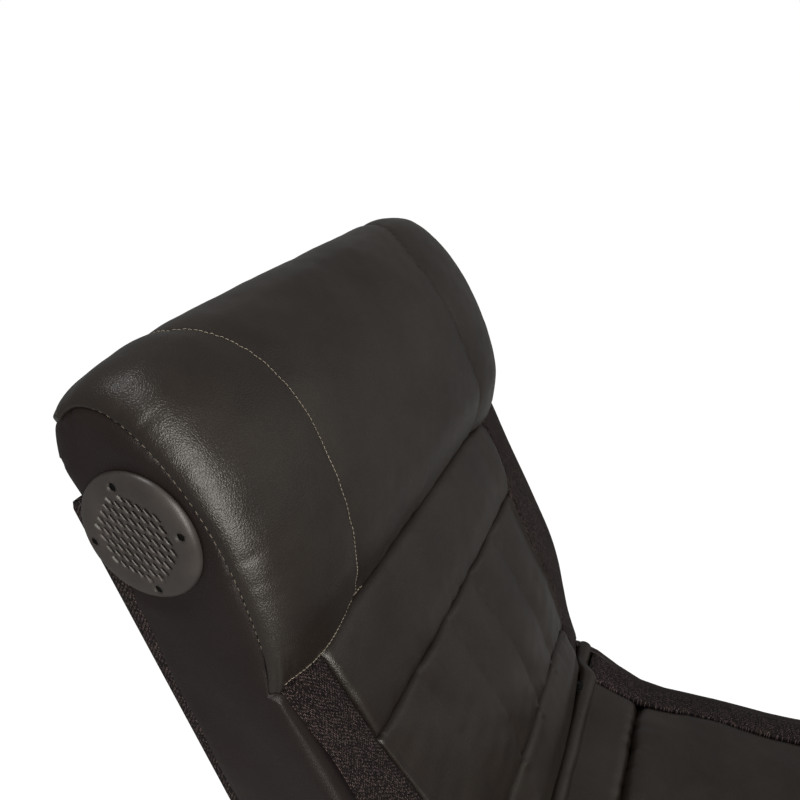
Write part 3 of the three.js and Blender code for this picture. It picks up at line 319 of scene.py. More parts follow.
def woven_mesh(name, dark, light, pitch):
    """A dense woven mesh on metre UVs: a herringbone of dark threads, with painted highlights as pale specks on
    the threads' crowns.
    """
    made = Tree(bpy.data.materials.new(name))
    calc = made.math
    split = made.add("SeparateXYZ", Vector=made.add("UVMap").outputs["UV"])
    u, v = (calc("DIVIDE", split.outputs[axis], pitch) for axis in "XY")
    i, j = (calc("FLOOR", c) for c in (u, v))
    fu, fv = (calc("FRACT", c) for c in (u, v))
    turn = calc("PINGPONG", i, 9.0)
    over = calc("LESS_THAN", calc("MODULO", calc("ADD", turn, j), 3.0), 1.5)

    def yarn(f):
        across = calc("SUBTRACT", f, 0.5)
        return calc("SUBTRACT", 1.0, calc("MULTIPLY", calc("MULTIPLY", across, across), 3.6))

    tall = calc("MULTIPLY", yarn(fu), over)
    low = calc("MULTIPLY", yarn(fv), calc("SUBTRACT", 1.0, over))
    height = calc("ADD", tall, calc("MULTIPLY", low, 0.7))
    white = made.add("TexWhiteNoise")
    white.noise_dimensions = "2D"
    made.feed(white, Vector=made.add("CombineXYZ", X=i, Y=j).outputs[0])
    # Painted highlights: the crowns of the yarns take the paler colour, more strongly in some random cells
    crown = calc("MULTIPLY", calc("SUBTRACT", height, 0.62), 2.6, clamp=True)
    lit = calc("MULTIPLY", crown, calc("POWER", white.outputs["Value"], 1.7))
    return made.finish(Base_Color=made.ramp(lit, (0.0, dark), (0.75, light)), Roughness=0.75,
                       Normal=made.bump(height, 0.9, 0.0008), Specular_IOR_Level=0.22)


def moulded_plastic(name, colour, rough, texture=900.0):
    """Plastic, rubber, paper or thread: a fine texture, and patches a little paler or darker."""
    made, where = material(name)
    fine, broad = made.noise(where, texture, 2), made.noise(where, 40, 3)
    darker, paler = (tuple(c * k for c in colour) for k in (0.8, 1.25))
    return made.finish_uneven(broad, 0.25, rough, Normal=made.bump(fine, 0.35, 0.0002),
                              Base_Color=made.ramp(broad, (0.3, darker), (0.7, paler)))


def metal(name, colour, rough):
    """Painted or bare steel with brushed streaks and worn patches."""
    made, where = material(name)
    brushed = made.noise(made.stretched(where, (1, 12, 12)), 90, 4)
    worn = made.noise(where, 55, 4)
    darker = tuple(c * 0.75 for c in colour)
    return made.finish_uneven(brushed, 0.3, rough, Metallic=1.0,
                              Base_Color=made.ramp(worn, (0.3, darker), (0.75, colour)))


def board(name, dark, light, stretch):
    """Plywood or hardboard: long grain with darker streaks."""
    made, where = material(name)
    grain = made.noise(made.stretched(where, stretch), 30, 6, 0.65)
    return made.finish(Base_Color=made.ramp(grain, (0.3, dark), (0.7, light)), Roughness=0.75,
                       Normal=made.bump(grain, 0.3, 0.0006))


GLOSSY_SHARE = 0.1
THREAD_TEXTURE, THREAD_ROUGH = 2500.0, 0.7

vinyl = grained_vinyl("grained vinyl", (0.0105, 0.0074, 0.0063), (0.0185, 0.0140, 0.0112), 0.36)
# The sides' vinyl is the same vinyl with its colour painted darker and redder: painted shade on the sides, which
# face away from the lamps
shaded_side_vinyl = grained_vinyl("shaded side vinyl", (0.0085, 0.0048, 0.0046), (0.0145, 0.0092, 0.0088), 0.45, 0.32)
mesh_cloth = woven_mesh("woven mesh", (0.003, 0.0015, 0.002), (0.14, 0.1, 0.098), 1.15 * MM)
# Tan is the thread's own colour. The two darker copies are the same thread painted as shade: one in the recess of
# the side seams, one on the far side
thread, recess_shaded_thread, far_side_shaded_thread = (moulded_plastic(f"{word} thread", colour, THREAD_ROUGH, THREAD_TEXTURE)
                                    for word, colour in (("tan", (0.27, 0.235, 0.19)),
                                                         ("recess shaded", (0.13, 0.105, 0.08)),
                                                         ("far side shaded", (0.035, 0.03, 0.026))))
grille_grey = moulded_plastic("grille plastic", (0.044, 0.038, 0.036), 0.4)
black_steel = metal("blackened steel", (0.02, 0.02, 0.02), 0.6)
CARRIED_OVER = {
    "frame_steel": metal("frame steel", (0.2, 0.21, 0.22), 0.42),
    "rivet_steel": metal("rivet steel", (0.5, 0.5, 0.5), 0.3),
    "plywood": board("plywood", (0.24, 0.15, 0.075), (0.52, 0.37, 0.21), (1, 9, 9)),
    "hardboard": board("hardboard", (0.035, 0.025, 0.018), (0.075, 0.052, 0.038), (6, 6, 6)),
    "runner_rubber": moulded_plastic("runner rubber", (0.021, 0.021, 0.022), 0.72, 500.0),
    "grille_plastic": grille_grey,
    "cone_paper": moulded_plastic("cone paper", (0.012, 0.012, 0.012), 0.85, 700.0),
    "black_plastic": moulded_plastic("black plastic", (0.018, 0.018, 0.019), 0.4),
    "circuit_green": moulded_plastic("circuit board", (0.02, 0.11, 0.045), 0.4),
    "led_lens": moulded_plastic("led lens", (0.35, 0.02, 0.015), 0.2),
}


# Mesh code

def placed(name, data):
    """A new object of the scene."""
    made = bpy.data.objects.new(name, data)
    bpy.context.scene.collection.objects.link(made)
    return made


def new_object(name, vertices, faces, made_of, uv=None):
    mesh = bpy.data.meshes.new(name)
    mesh.from_pydata([tuple(v) for v in vertices], [], [tuple(int(i) for i in f) for f in faces])
    bm = bmesh.new()
    bm.from_mesh(mesh)
    bmesh.ops.recalc_face_normals(bm, faces=bm.faces)
    bm.to_mesh(mesh)
    bm.free()
    if uv is not None:
        index = np.empty(len(mesh.loops), int)
        mesh.loops.foreach_get("vertex_index", index)
        layer = mesh.uv_layers.new(name="metres")
        layer.data.foreach_set("uv", np.asarray(uv, float)[index].ravel())
    mesh.materials.append(made_of)
    mesh.polygons.foreach_set("use_smooth", [True] * len(mesh.polygons))
    return placed(name, mesh)


def grid_faces(rows, columns, around=False):
    """Quads of a grid; around joins each row's last point to its first."""
    i, j = np.meshgrid(np.arange(rows - 1), np.arange(columns if around else columns - 1), indexing="ij")
    k = (j + 1) % columns
    quads = [i * columns + j, i * columns + k, (i + 1) * columns + k, (i + 1) * columns + j]
    return np.stack(quads, -1).reshape(-1, 4).tolist()


def tube_faces(rows, columns):
    """Faces of a grid whose rows are rings, with one more over each end."""
    last = (rows - 1) * columns
    return grid_faces(rows, columns, around=True) + [list(range(columns)), list(range(last, last + columns))]


def border(rows, columns):
    """Places round the edge of a grid."""
    grid = np.arange(rows * columns).reshape(rows, columns)
    return np.r_[grid[0], grid[1:, -1], grid[-1, -2::-1], grid[-2:0:-1, 0]].tolist()


def grid_uv(points):
    """Metre UVs of a grid: lengths along its middle row and column."""
    rows, columns = points.shape[:2]
    across = np.r_[0, np.cumsum(norm(np.diff(points, axis=1), axis=2).mean(0))]
    along = np.r_[0, np.cumsum(norm(np.diff(points, axis=0), axis=2).mean(1))]
    u, v = np.meshgrid(across, along)
    return np.stack([u, v], -1).reshape(-1, 2)


def closed_pad(name, points, rings, made_of):
    """A padded body: a grid of face points, whose border runs back through rings to a flat base."""
    rows, columns = points.shape[:2]
    ring = border(rows, columns)
    edge = points.reshape(-1, 3)[ring]
    uv = grid_uv(points)
    parts, uvs, faces = [points.reshape(-1, 3)], [uv], grid_faces(rows, columns)
    count = rows * columns
    for shift in rings:
        moved = shift(edge)
        new = list(range(count, count + len(moved)))
        faces += [(ring[a], ring[a - 1], new[a - 1], new[a]) for a in range(len(ring))]
        parts.append(moved)
        uvs.append(uv[border(rows, columns)])
        ring, count = new, count + len(moved)
    faces.append(ring)
    return new_object(name, np.vstack(parts), faces, made_of, np.vstack(uvs))


def set_y(value):
    """A ring pushed back to a plane of the back's own frame."""
    def shift(edge):
        moved = upright(edge)
        moved[:, 1] = value
        return leaning(moved)
    return shift


def stitches(name, line, normals, made_of, pitch, length, radius, lift, seed):
    """Short rounded threads along a line of the back, each sunk at both ends; in millimetres."""
    pitch, length, radius, lift = (size * MM for size in (pitch, length, radius, lift))
    rng = np.random.default_rng(seed)
    at = lengths(line)
    # Along the thread, over the surface and in width, as shares of its length and radius
    shares = [(-0.5, -0.7, 0.5), (-0.3, 0.4, 1), (0.0, 0.7, 1), (0.3, 0.4, 1), (0.5, -0.7, 0.5)]
    sides = 6
    vertices, faces = [], []

    def here(s, values=line):
        return np.array([np.interp(s, at, values[:, k]) for k in range(3)])

    for middle in np.arange(pitch, at[-1] - pitch, pitch):
        middle = middle + rng.uniform(-0.06, 0.06) * pitch
        n = here(middle, normals)
        n /= norm(n)
        t = here(middle + length / 2) - here(middle - length / 2)
        t /= norm(t)
        b = np.cross(t, n)
        skew = rng.uniform(-0.12, 0.12)
        faces += [[len(vertices) + v for v in face] for face in tube_faces(len(shares), sides)]
        for share, high, wide in shares:
            p = here(middle + share * length) + n * (lift + high * radius) + b * skew * share * length
            for a in (2 * math.pi * k / sides for k in range(sides)):
                vertices.append(p + radius * wide * (math.cos(a) * b + math.sin(a) * n))
    piece_of(new_object(name, vertices, faces, made_of), "back", "vinyl_panel")


def normals_along(line, out):
    """Normals of a line as close as can be to a direction."""
    t = np.gradient(line, axis=0)
    t /= norm(t, axis=1)[:, None]
    n = out - (out * t).sum(1)[:, None] * t
    return n / norm(n, axis=1)[:, None]


def piece_of(piece, body, slot, *nodes, fill=None):
    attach(piece, body)
    if nodes:
        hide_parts(*nodes)
    return piece


# Headrest: one cover over the whole width, with a seam round each side and another inside it

CROWN = 21 * MM
BULGE = HALF + 1.3 * MM
SEAM_X = HALF - 3.6 * MM
SEAM_INSET = 7 * MM
CORNER_WIDTH, CORNER_DROP = 24 * MM, 4 * MM
HEM = 1.5 * MM
LAYER, SPREAD = 0.2 * MM, 0.05
# The inner seam: millimetres along the rim from the rear, and from the chair's middle
SEAM2_PLACES = [(0, 160), (90, 157), (110, 149), (134, 135), (156, 129), (184, 127), (219, 129),
                (254, 134), (285, 138), (329, 131)]

rim = curve([(REAR_VINYL - a * HEADREST_DEPTH, CREASE + b * HEADREST_HEIGHT) for a, b in RIM_SHARES], 300)
rim = resample(np.vstack([[REAR_VINYL, REAR_TOP + GAP], rim]), 150)
rim_out = np.gradient(rim, axis=0)
rim_out /= norm(rim_out, axis=1)[:, None]
rim_out = np.stack([rim_out[:, 1], -rim_out[:, 0]], -1)
rim_length = lengths(rim)
front_share = np.clip(-rim_out[:, 0], 0, 1)
top_share = np.clip(rim_out[:, 1], 0, 1)
crease_fade = 0.5 + 0.5 * smoothstep((rim[:, 1] - CREASE) / HEADREST_HEIGHT, 0, 0.25)
swell = np.clip(front_share * crease_fade + 0.45 * top_share, 0, 1)
seam2_x = reader([(s * MM, x * MM) for s, x in SEAM2_PLACES])


def crease_shift(x):
    """The seam under the headrest dips beside the mesh strips."""
    return 4 * MM - 6.5 * MM * bell(np.abs(x) - PAD_HALF + 5 * MM, 35)


# Across the cover from one side seam to the other: a rolled corner, then the crown
corner = curve([(SEAM_X - BULGE, -SEAM_INSET), (SEAM_X - BULGE + 1.7 * MM, -SEAM_INSET + 0.2 * MM),
                (-0.9 * MM, -SEAM_INSET + 1.2 * MM), (0, -SEAM_INSET + 3 * MM)], 8)
corner[:, 0] += BULGE
quarter = np.linspace(0, math.pi / 2, 18)[1:]
round_x = BULGE - CORNER_WIDTH * (1 - np.cos(quarter))
flat_x = spaced(BULGE - CORNER_WIDTH, 0, 3.2 * MM)[1:]
across = np.r_[corner[:, 0], round_x, flat_x]
base_n = np.r_[corner[:, 1], -CORNER_DROP + CORNER_DROP * np.sin(quarter), np.zeros(len(flat_x))]
crown_n = np.where(np.arange(len(across)) < len(corner), 0,
                   CROWN * np.clip(1 - (across / BULGE) ** 8, 0, 1) ** 0.6)
across = np.r_[-across, across[-2::-1]]
base_n, crown_n = (np.r_[n, n[-2::-1]] for n in (base_n, crown_n))

# How far each point of the cover stands out from the rim, row by row
row_grid, x_grid = np.meshgrid(np.arange(len(rim)), across, indexing="ij")
v_grid = rim_length[row_grid]
reach, way = np.abs(x_grid), np.sign(x_grid)
off_seam2 = reach - seam2_x(v_grid)
from_side, from_crease = HALF - reach, rim_length[-1] - v_grid
rear_round = 3.5 * MM * bell(rim_length - 55 * MM, 45)
n_grid = base_n[None] + swell[:, None] * crown_n[None]
n_grid -= rear_round[:, None] * smoothstep(np.abs(across), HALF - 60 * MM, HALF)[None]
loose = 0.7 * MM * lumps(x_grid, v_grid, 95, 21) + 0.22 * MM * lumps(x_grid, v_grid, 24, 22)
n_grid += loose * smoothstep(from_side, 2 * MM, 30 * MM) * (0.35 + 0.65 * swell[row_grid])
n_grid -= bell(off_seam2, 1.7) * 1.3 * MM + bell(off_seam2, 12) * 1.5 * MM
n_grid -= gathers(v_grid, 21, 24) * bell(off_seam2, 8) * 0.5 * MM
n_grid -= gathers(v_grid, 15, 23) * bell(from_side - 3 * MM, 10) * 0.9 * MM
held_out = 1 - 0.85 * smoothstep(reach, HALF - 18 * MM, HALF - 6 * MM)
n_grid -= roll_off(from_crease, 15, 8) * held_out
n_grid -= gathers(x_grid, 24, 25) * bell(from_crease - 5 * MM, 15) * 1.0 * MM
cover = np.stack([x_grid, rim[row_grid, 0] + rim_out[row_grid, 0] * n_grid,
                  rim[row_grid, 1] + rim_out[row_grid, 1] * n_grid], -1)

# The cover is narrower at the rear, where it lies between the side panels, and full width past it
past_rear = smoothstep(v_grid, 35 * MM, 75 * MM)
wide = INNER + LAYER + (BULGE + 1 * MM - INNER) * past_rear
cover[..., 0] = way * np.where(reach > wide, wide + SPREAD * (reach - wide), reach)
low_end = (1 - smoothstep(from_crease, 4 * MM, 45 * MM)) * (reach > SEAM_X - 0.1 * MM)
cover[..., 0] += way * low_end * np.clip(HALF - GAP - reach, 0, None)
cover[..., 2] += crease_shift(x_grid) * np.exp(-from_crease / (40 * MM))
cover[-1, :, 2] = CREASE + GAP + crease_shift(across)

# Inside of the cover: the foam's hollow, or a thin hem where it wraps each side
HOLLOW_STEPS = 40
hollow = resample(np.array([[FOAM_BACK, CREASE + GAP], [FOAM_BACK, INNER_TOP],
                            [REAR_VINYL - 4 * MM, INNER_TOP],
                            [REAR_VINYL - 4 * MM, REAR_TOP + GAP]]), HOLLOW_STEPS)
hem = resample((rim - (SEAM_INSET + HEM + rear_round)[:, None] * rim_out)[::-1], HOLLOW_STEPS)
loops = []
for k, x in enumerate(across):
    wrap = abs(x) > INNER + 0.5 * MM
    flat = INNER + LAYER + SPREAD * (abs(x) - INNER) if wrap else abs(x)
    inside = np.column_stack([np.full(HOLLOW_STEPS + 1, math.copysign(flat, x)), hem if wrap else hollow])
    inside[0, 2] = CREASE + GAP
    inside[-1, 2] = REAR_TOP + GAP
    loops.append(np.vstack([cover[:, k], inside]))
loops = np.array(loops)
headrest = new_object("headrest_cover", leaning(loops.reshape(-1, 3)), tube_faces(*loops.shape[:2]), vinyl)
piece_of(headrest, "back", "vinyl_cushion", "headrest_cushion", fill=0.85)
cover_out = leaning_way(np.column_stack([np.zeros(len(rim)), rim_out]))

rows = np.arange(4, len(rim) - 4)
for word, side in SIDES:
    line = leaning(np.array([[np.interp(side * seam2_x(rim_length[r]), across, cover[r, :, c])
                              for c in range(3)] for r in rows]))
    # The thread on the far side is painted dark: painted shade
    stitches(f"headrest_seam_thread_{word}", line, normals_along(line, cover_out[rows]),
             thread if side < 0 else far_side_shaded_thread, 3.4, 2.7, 0.24, 0.15, 31 + side)


# Flat panels: an outline filled with points, so that it can puff and crease

def filled(outline, holes, step, jitter=0.25, seed=3, insets=(0.0,), extra=None):
    """Triangles over an outline with holes, finer at some insets from the outline.

    It returns the points, the triangles and the places of each border's points.
    """
    rng = np.random.default_rng(seed)
    points, edges, rings = [], [], []
    for loop in [outline, *holes]:
        base, count = len(points), len(loop)
        points += [tuple(p) for p in loop]
        edges += [(base + k, base + (k + 1) % count) for k in range(count)]
        rings.append(list(range(base, base + count)))
    low, high = outline.min(0), outline.max(0)
    a, b = np.meshgrid(np.arange(low[0], high[0], step), np.arange(low[1], high[1], step * 0.87))
    a = a + (np.arange(a.shape[0]) % 2)[:, None] * step / 2
    fill = np.stack([a, b], -1).reshape(-1, 2) + rng.uniform(-jitter, jitter, (a.size, 2)) * step
    keep = inside_of(fill, outline) & (distance_to(fill, outline) > insets[-1] + 0.6 * step)
    for hole in holes:
        keep &= ~inside_of(fill, hole) & (distance_to(fill, hole) > 0.35 * step)
    if extra is not None:
        keep &= norm(fill[:, None] - extra[None], axis=2).min(1) > 0.35 * step
        points += [tuple(p) for p in extra]
    points += [tuple(p) for p in fill[keep]]
    along = np.roll(outline, -1, 0) - np.roll(outline, 1, 0)
    inward = np.stack([-along[:, 1], along[:, 0]], -1) / norm(along, axis=1)[:, None]
    if not inside_of(outline + inward * 0.5 * MM, outline).mean() > 0.5:
        inward = -inward
    for inset in insets[1:]:
        line = outline + inward * inset
        line = line[inside_of(line, outline) & (distance_to(line, outline) > 0.95 * inset)]
        points += [tuple(p) for p in line]
    made = delaunay_2d_cdt([Vector(p) for p in points], edges, [], 0, 1e-7)
    vertices = np.array([tuple(v) for v in made[0]])
    triangles = np.array([f for f in made[2] if len(f) == 3])
    middle = vertices[triangles].mean(1)
    keep = inside_of(middle, outline)
    for hole in holes:
        keep &= ~inside_of(middle, hole)
    return vertices, triangles[keep], rings


def inside_of(points, loop):
    x, y = points[:, 0], points[:, 1]
    result = np.zeros(len(points), bool)
    for (x0, y0), (x1, y1) in zip(loop, np.roll(loop, -1, 0)):
        crossing = (y0 > y) != (y1 > y)
        with np.errstate(divide="ignore", invalid="ignore"):
            result ^= crossing & (x < (x1 - x0) * (y - y0) / (y1 - y0) + x0)
    return result


def distance_to(points, line, closed=True):
    """Distance of points to a closed outline, or to a line."""
    best = np.full(len(points), 1e9)
    for a, b in zip(line, np.roll(line, -1, 0) if closed else line[1:]):
        d = b - a
        t = np.clip(((points - a) @ d) / max(d @ d, 1e-18), 0, 1)
        best = np.minimum(best, norm(points - a - t[:, None] * d, axis=1))
    return best


def slab(name, flat, triangles, rings, front, rear, side, made_of, place=leaning):
    """A panel on one side: two surfaces over the same triangles, joined round each ring."""
    count = len(flat)
    faces = [tuple(t) for t in triangles] + [tuple(t[::-1] + count) for t in triangles]
    for ring in rings:
        faces += [(ring[k - 1], ring[k], ring[k] + count, ring[k - 1] + count) for k in range(len(ring))]
    vertices = [place(np.column_stack([np.full(count, side * depth), flat])) for depth in (front, rear)]
    return new_object(name, np.vstack(vertices), faces, made_of)


def circle(centre, radius, sides):
    a = np.linspace(0, 2 * math.pi, sides, endpoint=False)
    return np.stack([centre[0] + radius * np.cos(a), centre[1] + radius * np.sin(a)], -1)


def dense(loop, step):
    """A closed outline with points at most a step apart."""
    loop = np.asarray(loop, float)
    out = []
    for a, b in zip(loop, np.roll(loop, -1, 0)):
        n = max(1, int(math.ceil(norm(b - a) / step)))
        out += [a + (b - a) * k / n for k in range(n)]
    return np.array(out)


# Sides of the back: a soft panel inside the headrest's seam, whose front edge rolls to the mesh strip

STRIP_END = INNER + 1.6 * MM
EDGE_INSETS = (0.0, 0.7 * MM, 1.7 * MM, 3.2 * MM, 5.4 * MM, 8 * MM)
LEAST_PUFF = 1.2 * MM
first = int(np.argmax(rim[:, 1] > REAR_TOP + 1.5 * MM))
at_rear = 1 - smoothstep(rim_length, 35 * MM, 75 * MM)
seam_inset = SEAM_INSET + 0.4 * MM + (rear_round + 1.8 * MM - SEAM_INSET - 0.4 * MM) * at_rear
seam_line = (rim - rim_out * seam_inset[:, None])[first:]
seam_line = seam_line[seam_line[:, 1] > CREASE + 2 * MM]
front_z = spaced(CREASE - 3 * MM, 2 * MM, 4 * MM)
front_line = np.stack([back_edge(front_z), front_z], -1)
rear_y = REAR_INSIDE - 1 * MM
rear_line = [[rear_y, 1 * MM], [rear_y, REAR_TOP - 1 * MM]]
side_outline = dense(np.vstack([rear_line, seam_line, front_line]), 3 * MM)
side_points, side_triangles, side_rings = filled(
    side_outline, [circle(SPEAKER, HOLE_R, 48)], 4.4 * MM, insets=EDGE_INSETS)

from_seam = distance_to(side_points, seam_line, closed=False)
from_front = distance_to(side_points, front_line, closed=False)
from_rear = rear_y - side_points[:, 0]
from_grille = norm(side_points - SPEAKER, axis=1) - GRILLE_R
nearest = np.argmin(norm(side_points[:, None] - rim[None, ::3], axis=2), axis=1)
below_crease = CREASE - side_points[:, 1]
side_depth = 2.2 * MM + 0.7 * MM * lumps(*side_points.T, 75, 41)
side_depth -= gathers(rim_length[::3][nearest], 14, 42) * bell(from_seam - 4 * MM, 8) * 0.8 * MM
side_depth = side_depth * smoothstep(from_grille, -3 * MM, 16 * MM)
side_depth -= roll_off(from_seam, 15, 5.6) * smoothstep(-below_crease, 0, 25 * MM)
side_depth -= roll_off(from_front, 9, 6) * (0.3 + 0.7 * smoothstep(below_crease, 0, 60 * MM))
side_depth -= roll_off(from_rear, 8, 2.4) + roll_off(side_points[:, 1], 8, 4)
side_depth = np.maximum(HALF + side_depth, INNER + LEAST_PUFF)

rows = np.arange(first + 28, len(rim) - 14)
seam = rim[rows] - rim_out[rows] * (SEAM_INSET - 1.3 * MM)
for word, side in SIDES:
    # The side covers take the vinyl painted darker as shade
    panel = slab(f"back_side_cover_{word}", side_points, side_triangles, side_rings,
                 side_depth, INNER + GAP, side, shaded_side_vinyl)
    piece_of(panel, "back", "vinyl_panel", f"back_side_panel_{word}")
    line = leaning(np.column_stack([np.full(len(seam), side * (BULGE - 0.7 * MM)), seam]))
    away = leaning_way(np.column_stack([np.full(len(seam), side * 0.78), -0.62 * rim_out[rows]]))
    # The side seams' thread is the tan thread painted darker: painted shade in the recess under the headrest's
    # bulge
    stitches(f"side_seam_thread_{word}", line, away, recess_shaded_thread, 5.2, 3.1, 0.3, 0.0, 51 + side)


# Pads of the back between the mesh strips, which widen towards the seat

CHANNELS = 5
BOLSTER = 5 * MM
PAD_INSET = 5.7 * MM
STRIP_GAIN, GAIN_HEIGHT = 19 * MM, 190 * MM


def pad_half(z):
    """Half the pads' width: the mesh strips beside them widen below the crease."""
    return PAD_HALF - PAD_INSET - STRIP_GAIN * smoothstep(CREASE - z, 0, GAIN_HEIGHT)


def l3_at(x):
    """The seam under the plain pad."""
    return L3 + 6.5 * MM + 1.5 * MM * (np.abs(x) / PAD_HALF) ** 2


def l4_at(x):
    """The seam over the lower roll drops at its ends."""
    return L4 + 9 * MM - 17 * MM * (np.abs(x) / PAD_HALF) ** 4


def crease_at(x):
    return CREASE + crease_shift(x)


def back_pad(name, low, high, step, extra, node, low_roll, high_roll, seed=60, rings=()):
    """A pad over the whole width between two seams; low and high give their heights at x."""
    t = spaced(0, 1, step / float(high(np.zeros(1))[0] - low(np.zeros(1))[0]))
    tt, uu = np.meshgrid(t, spaced(-1, 1, step / PAD_HALF), indexing="ij")
    middle_z = low(uu * PAD_HALF) + (high(uu * PAD_HALF) - low(uu * PAD_HALF)) * tt
    x = uu * pad_half(middle_z)
    z = low(x) + (high(x) - low(x)) * tt
    ends = roll_off(z - low(x), *low_roll) + roll_off(high(x) - z, *high_roll)
    sides = roll_off(pad_half(z) - np.abs(x), 5, 3)
    y = back_face(x, z) + np.maximum(ends, sides) + 0.3 * np.minimum(ends, sides) + extra(x, z)
    y -= 0.7 * MM * lumps(x, z, 80, seed) + 0.25 * MM * lumps(x, z, 25, seed + 1)
    points = leaning(np.stack([x, y, z], -1))
    piece = closed_pad(name, points, rings or [set_y(FOAM_BACK - 6 * MM), set_y(FOAM_BACK)], vinyl)
    return piece_of(piece, "back", "vinyl_cushion", node, fill=0.8)


def upper_extra(x, z):
    """Folds at both seams of the plain pad, and its crown."""
    top = crease_at(x) - z
    foot = z - l3_at(x)
    folds = gathers(x, 30, 61) * bell(foot, 18) * 1.1 * MM
    folds += gathers(x + 9 * MM, 34, 62) * bell(top, 18) * 1.1 * MM
    return folds - 2.2 * MM * smoothstep(np.minimum(top, foot), 4 * MM, 34 * MM)


def channel_phase(x, z):
    """Where a point lies across the channels: 0 in a valley, 1 in the next."""
    half = pad_half(z) - BOLSTER
    return (x + half) / (2 * half) * CHANNELS


def channel_extra(x, z):
    """The sewn channels, deeper near the seams, and their gathers."""
    phase = channel_phase(x, z)
    within = (phase > 0) & (phase < CHANNELS)
    beyond = np.clip(np.where(phase <= 0, -phase, phase - CHANNELS), 0, None)
    width = 2 * (pad_half(z) - BOLSTER) / CHANNELS
    lobe = np.where(within, np.abs(np.sin(math.pi * phase)),
                    np.sin(math.pi / 2 * np.clip(beyond * width / BOLSTER, 0, 1)))
    foot, top = z - l4_at(x), l3_at(x) - z
    ends = smoothstep(np.minimum(foot, top), -2 * MM, 22 * MM)
    strength = 0.3 + 0.75 * np.exp(-top / (50 * MM)) + 0.35 * np.exp(-foot / (35 * MM))
    deep = 3.2 * MM * (1 - lobe ** 0.42) * strength - 1.3 * MM * lobe * ends
    deep += gathers(x, 25, 63) * bell(top - 2 * MM, 17) * 1.2 * MM
    deep += gathers(x + 5 * MM, 23, 64) * bell(foot - 1 * MM, 15) * 1.2 * MM
    wave = gathers(z + 0.15 * x, 19, 65) * (1 - lobe) ** 1.4 * 0.6 * MM * ends
    return deep + wave - tufts(x, z)


def tufts(x, z):
    """Small folds pinched up where the channels end on the seam below them."""
    edge = (channel_phase(x, z) * 2 * (pad_half(z) - BOLSTER) / CHANNELS)
    width = 2 * (pad_half(z) - BOLSTER) / CHANNELS
    away = (edge + 6 * MM + width / 2) % width - width / 2
    return 3.2 * MM * bell(away + 2 * (z - l4_at(x)) / 5, 3.2) * bell(z - l4_at(x), 8)


def roll_extra(x, z):
    """Folds at the lower roll's upper seam, and its crown."""
    top = l4_at(x) - z
    folds = gathers(x + 5 * MM, 23, 66) * bell(top - 1 * MM, 13) * 1.2 * MM - tufts(x, z)
    return folds - 6 * MM * smoothstep(top, 4 * MM, 40 * MM) * smoothstep(z, 0, 14 * MM)


back_pad("back_upper_cover", lambda x: l3_at(x) + GAP, lambda x: crease_at(x) - GAP,
         4 * MM, upper_extra, "back_upper_pad", (9, 5), (13, 8))
back_pad("back_channel_cover", lambda x: l4_at(x) + GAP, lambda x: l3_at(x) - GAP, 2.8 * MM,
         channel_extra, "back_channel_cushion", (10, 6), (8, 6), seed=70)
lower_roll = back_pad("back_roll_cover", lambda x: np.full_like(x, GAP), lambda x: l4_at(x) - GAP,
                      3 * MM, roll_extra, "back_lower_roll", (14, 8), (10, 6),
                      seed=80, rings=[set_y(END_BOARD)])
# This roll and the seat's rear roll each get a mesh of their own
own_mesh(lower_roll)


# Woven mesh strips beside the pads

STRIP_DEPTH = 8 * MM


def back_strip(word, side):
    t, s = np.linspace(0, 1, 82), np.linspace(0, 1, 15)
    tt, ss = np.meshgrid(t, s, indexing="ij")
    inner = pad_half(CREASE * (1 - tt)) + 0.5 * MM
    outer = STRIP_END + 8 * MM * (1 - smoothstep(CREASE * tt, 0, 75 * MM))
    x = inner + (outer - inner) * ss
    z = (crease_at(x) - GAP) * (1 - tt) + GAP * tt
    y = back_face(x, z) + roll_off(x - inner, 5, 3) + roll_off(outer - x, 4, 2.5)
    y += 0.5 * MM * lumps(x, z, 45, 90) * np.sin(math.pi * ss) - 1.2 * MM * np.sin(math.pi * ss)
    y += roll_off(crease_at(x) - z, 10, 5) + roll_off(z, 14, 8)
    points = leaning(np.stack([side * x, y, z], -1))

    def base(edge):
        moved = upright(edge)
        moved[:, 1] = np.maximum(moved[:, 1] + STRIP_DEPTH, END_BOARD)
        return leaning(moved)
    piece = closed_pad(f"back_mesh_cover_{word}", points, [base], mesh_cloth)
    piece_of(piece, "back", "mesh_cloth", f"back_mesh_strip_{word}", fill=0.6)


for word, side in SIDES:
    back_strip(word, side)

# Thread along the ends of the crease, on the headrest's lower edge; on the far side this thread is painted dark as
# shade
for word, side in SIDES:
    x = side * spaced(118 * MM, HALF - 4 * MM, 2 * MM)
    line = leaning(np.stack([np.interp(x, across, cover[-3, :, c]) for c in range(3)], -1))
    stitches(f"crease_thread_{word}", line, normals_along(line, np.tile(cover_out[-3], (len(x), 1))),
             thread if side < 0 else far_side_shaded_thread, 3.2, 2.7, 0.3, 0.2, 95)


# Rear faces in woven mesh

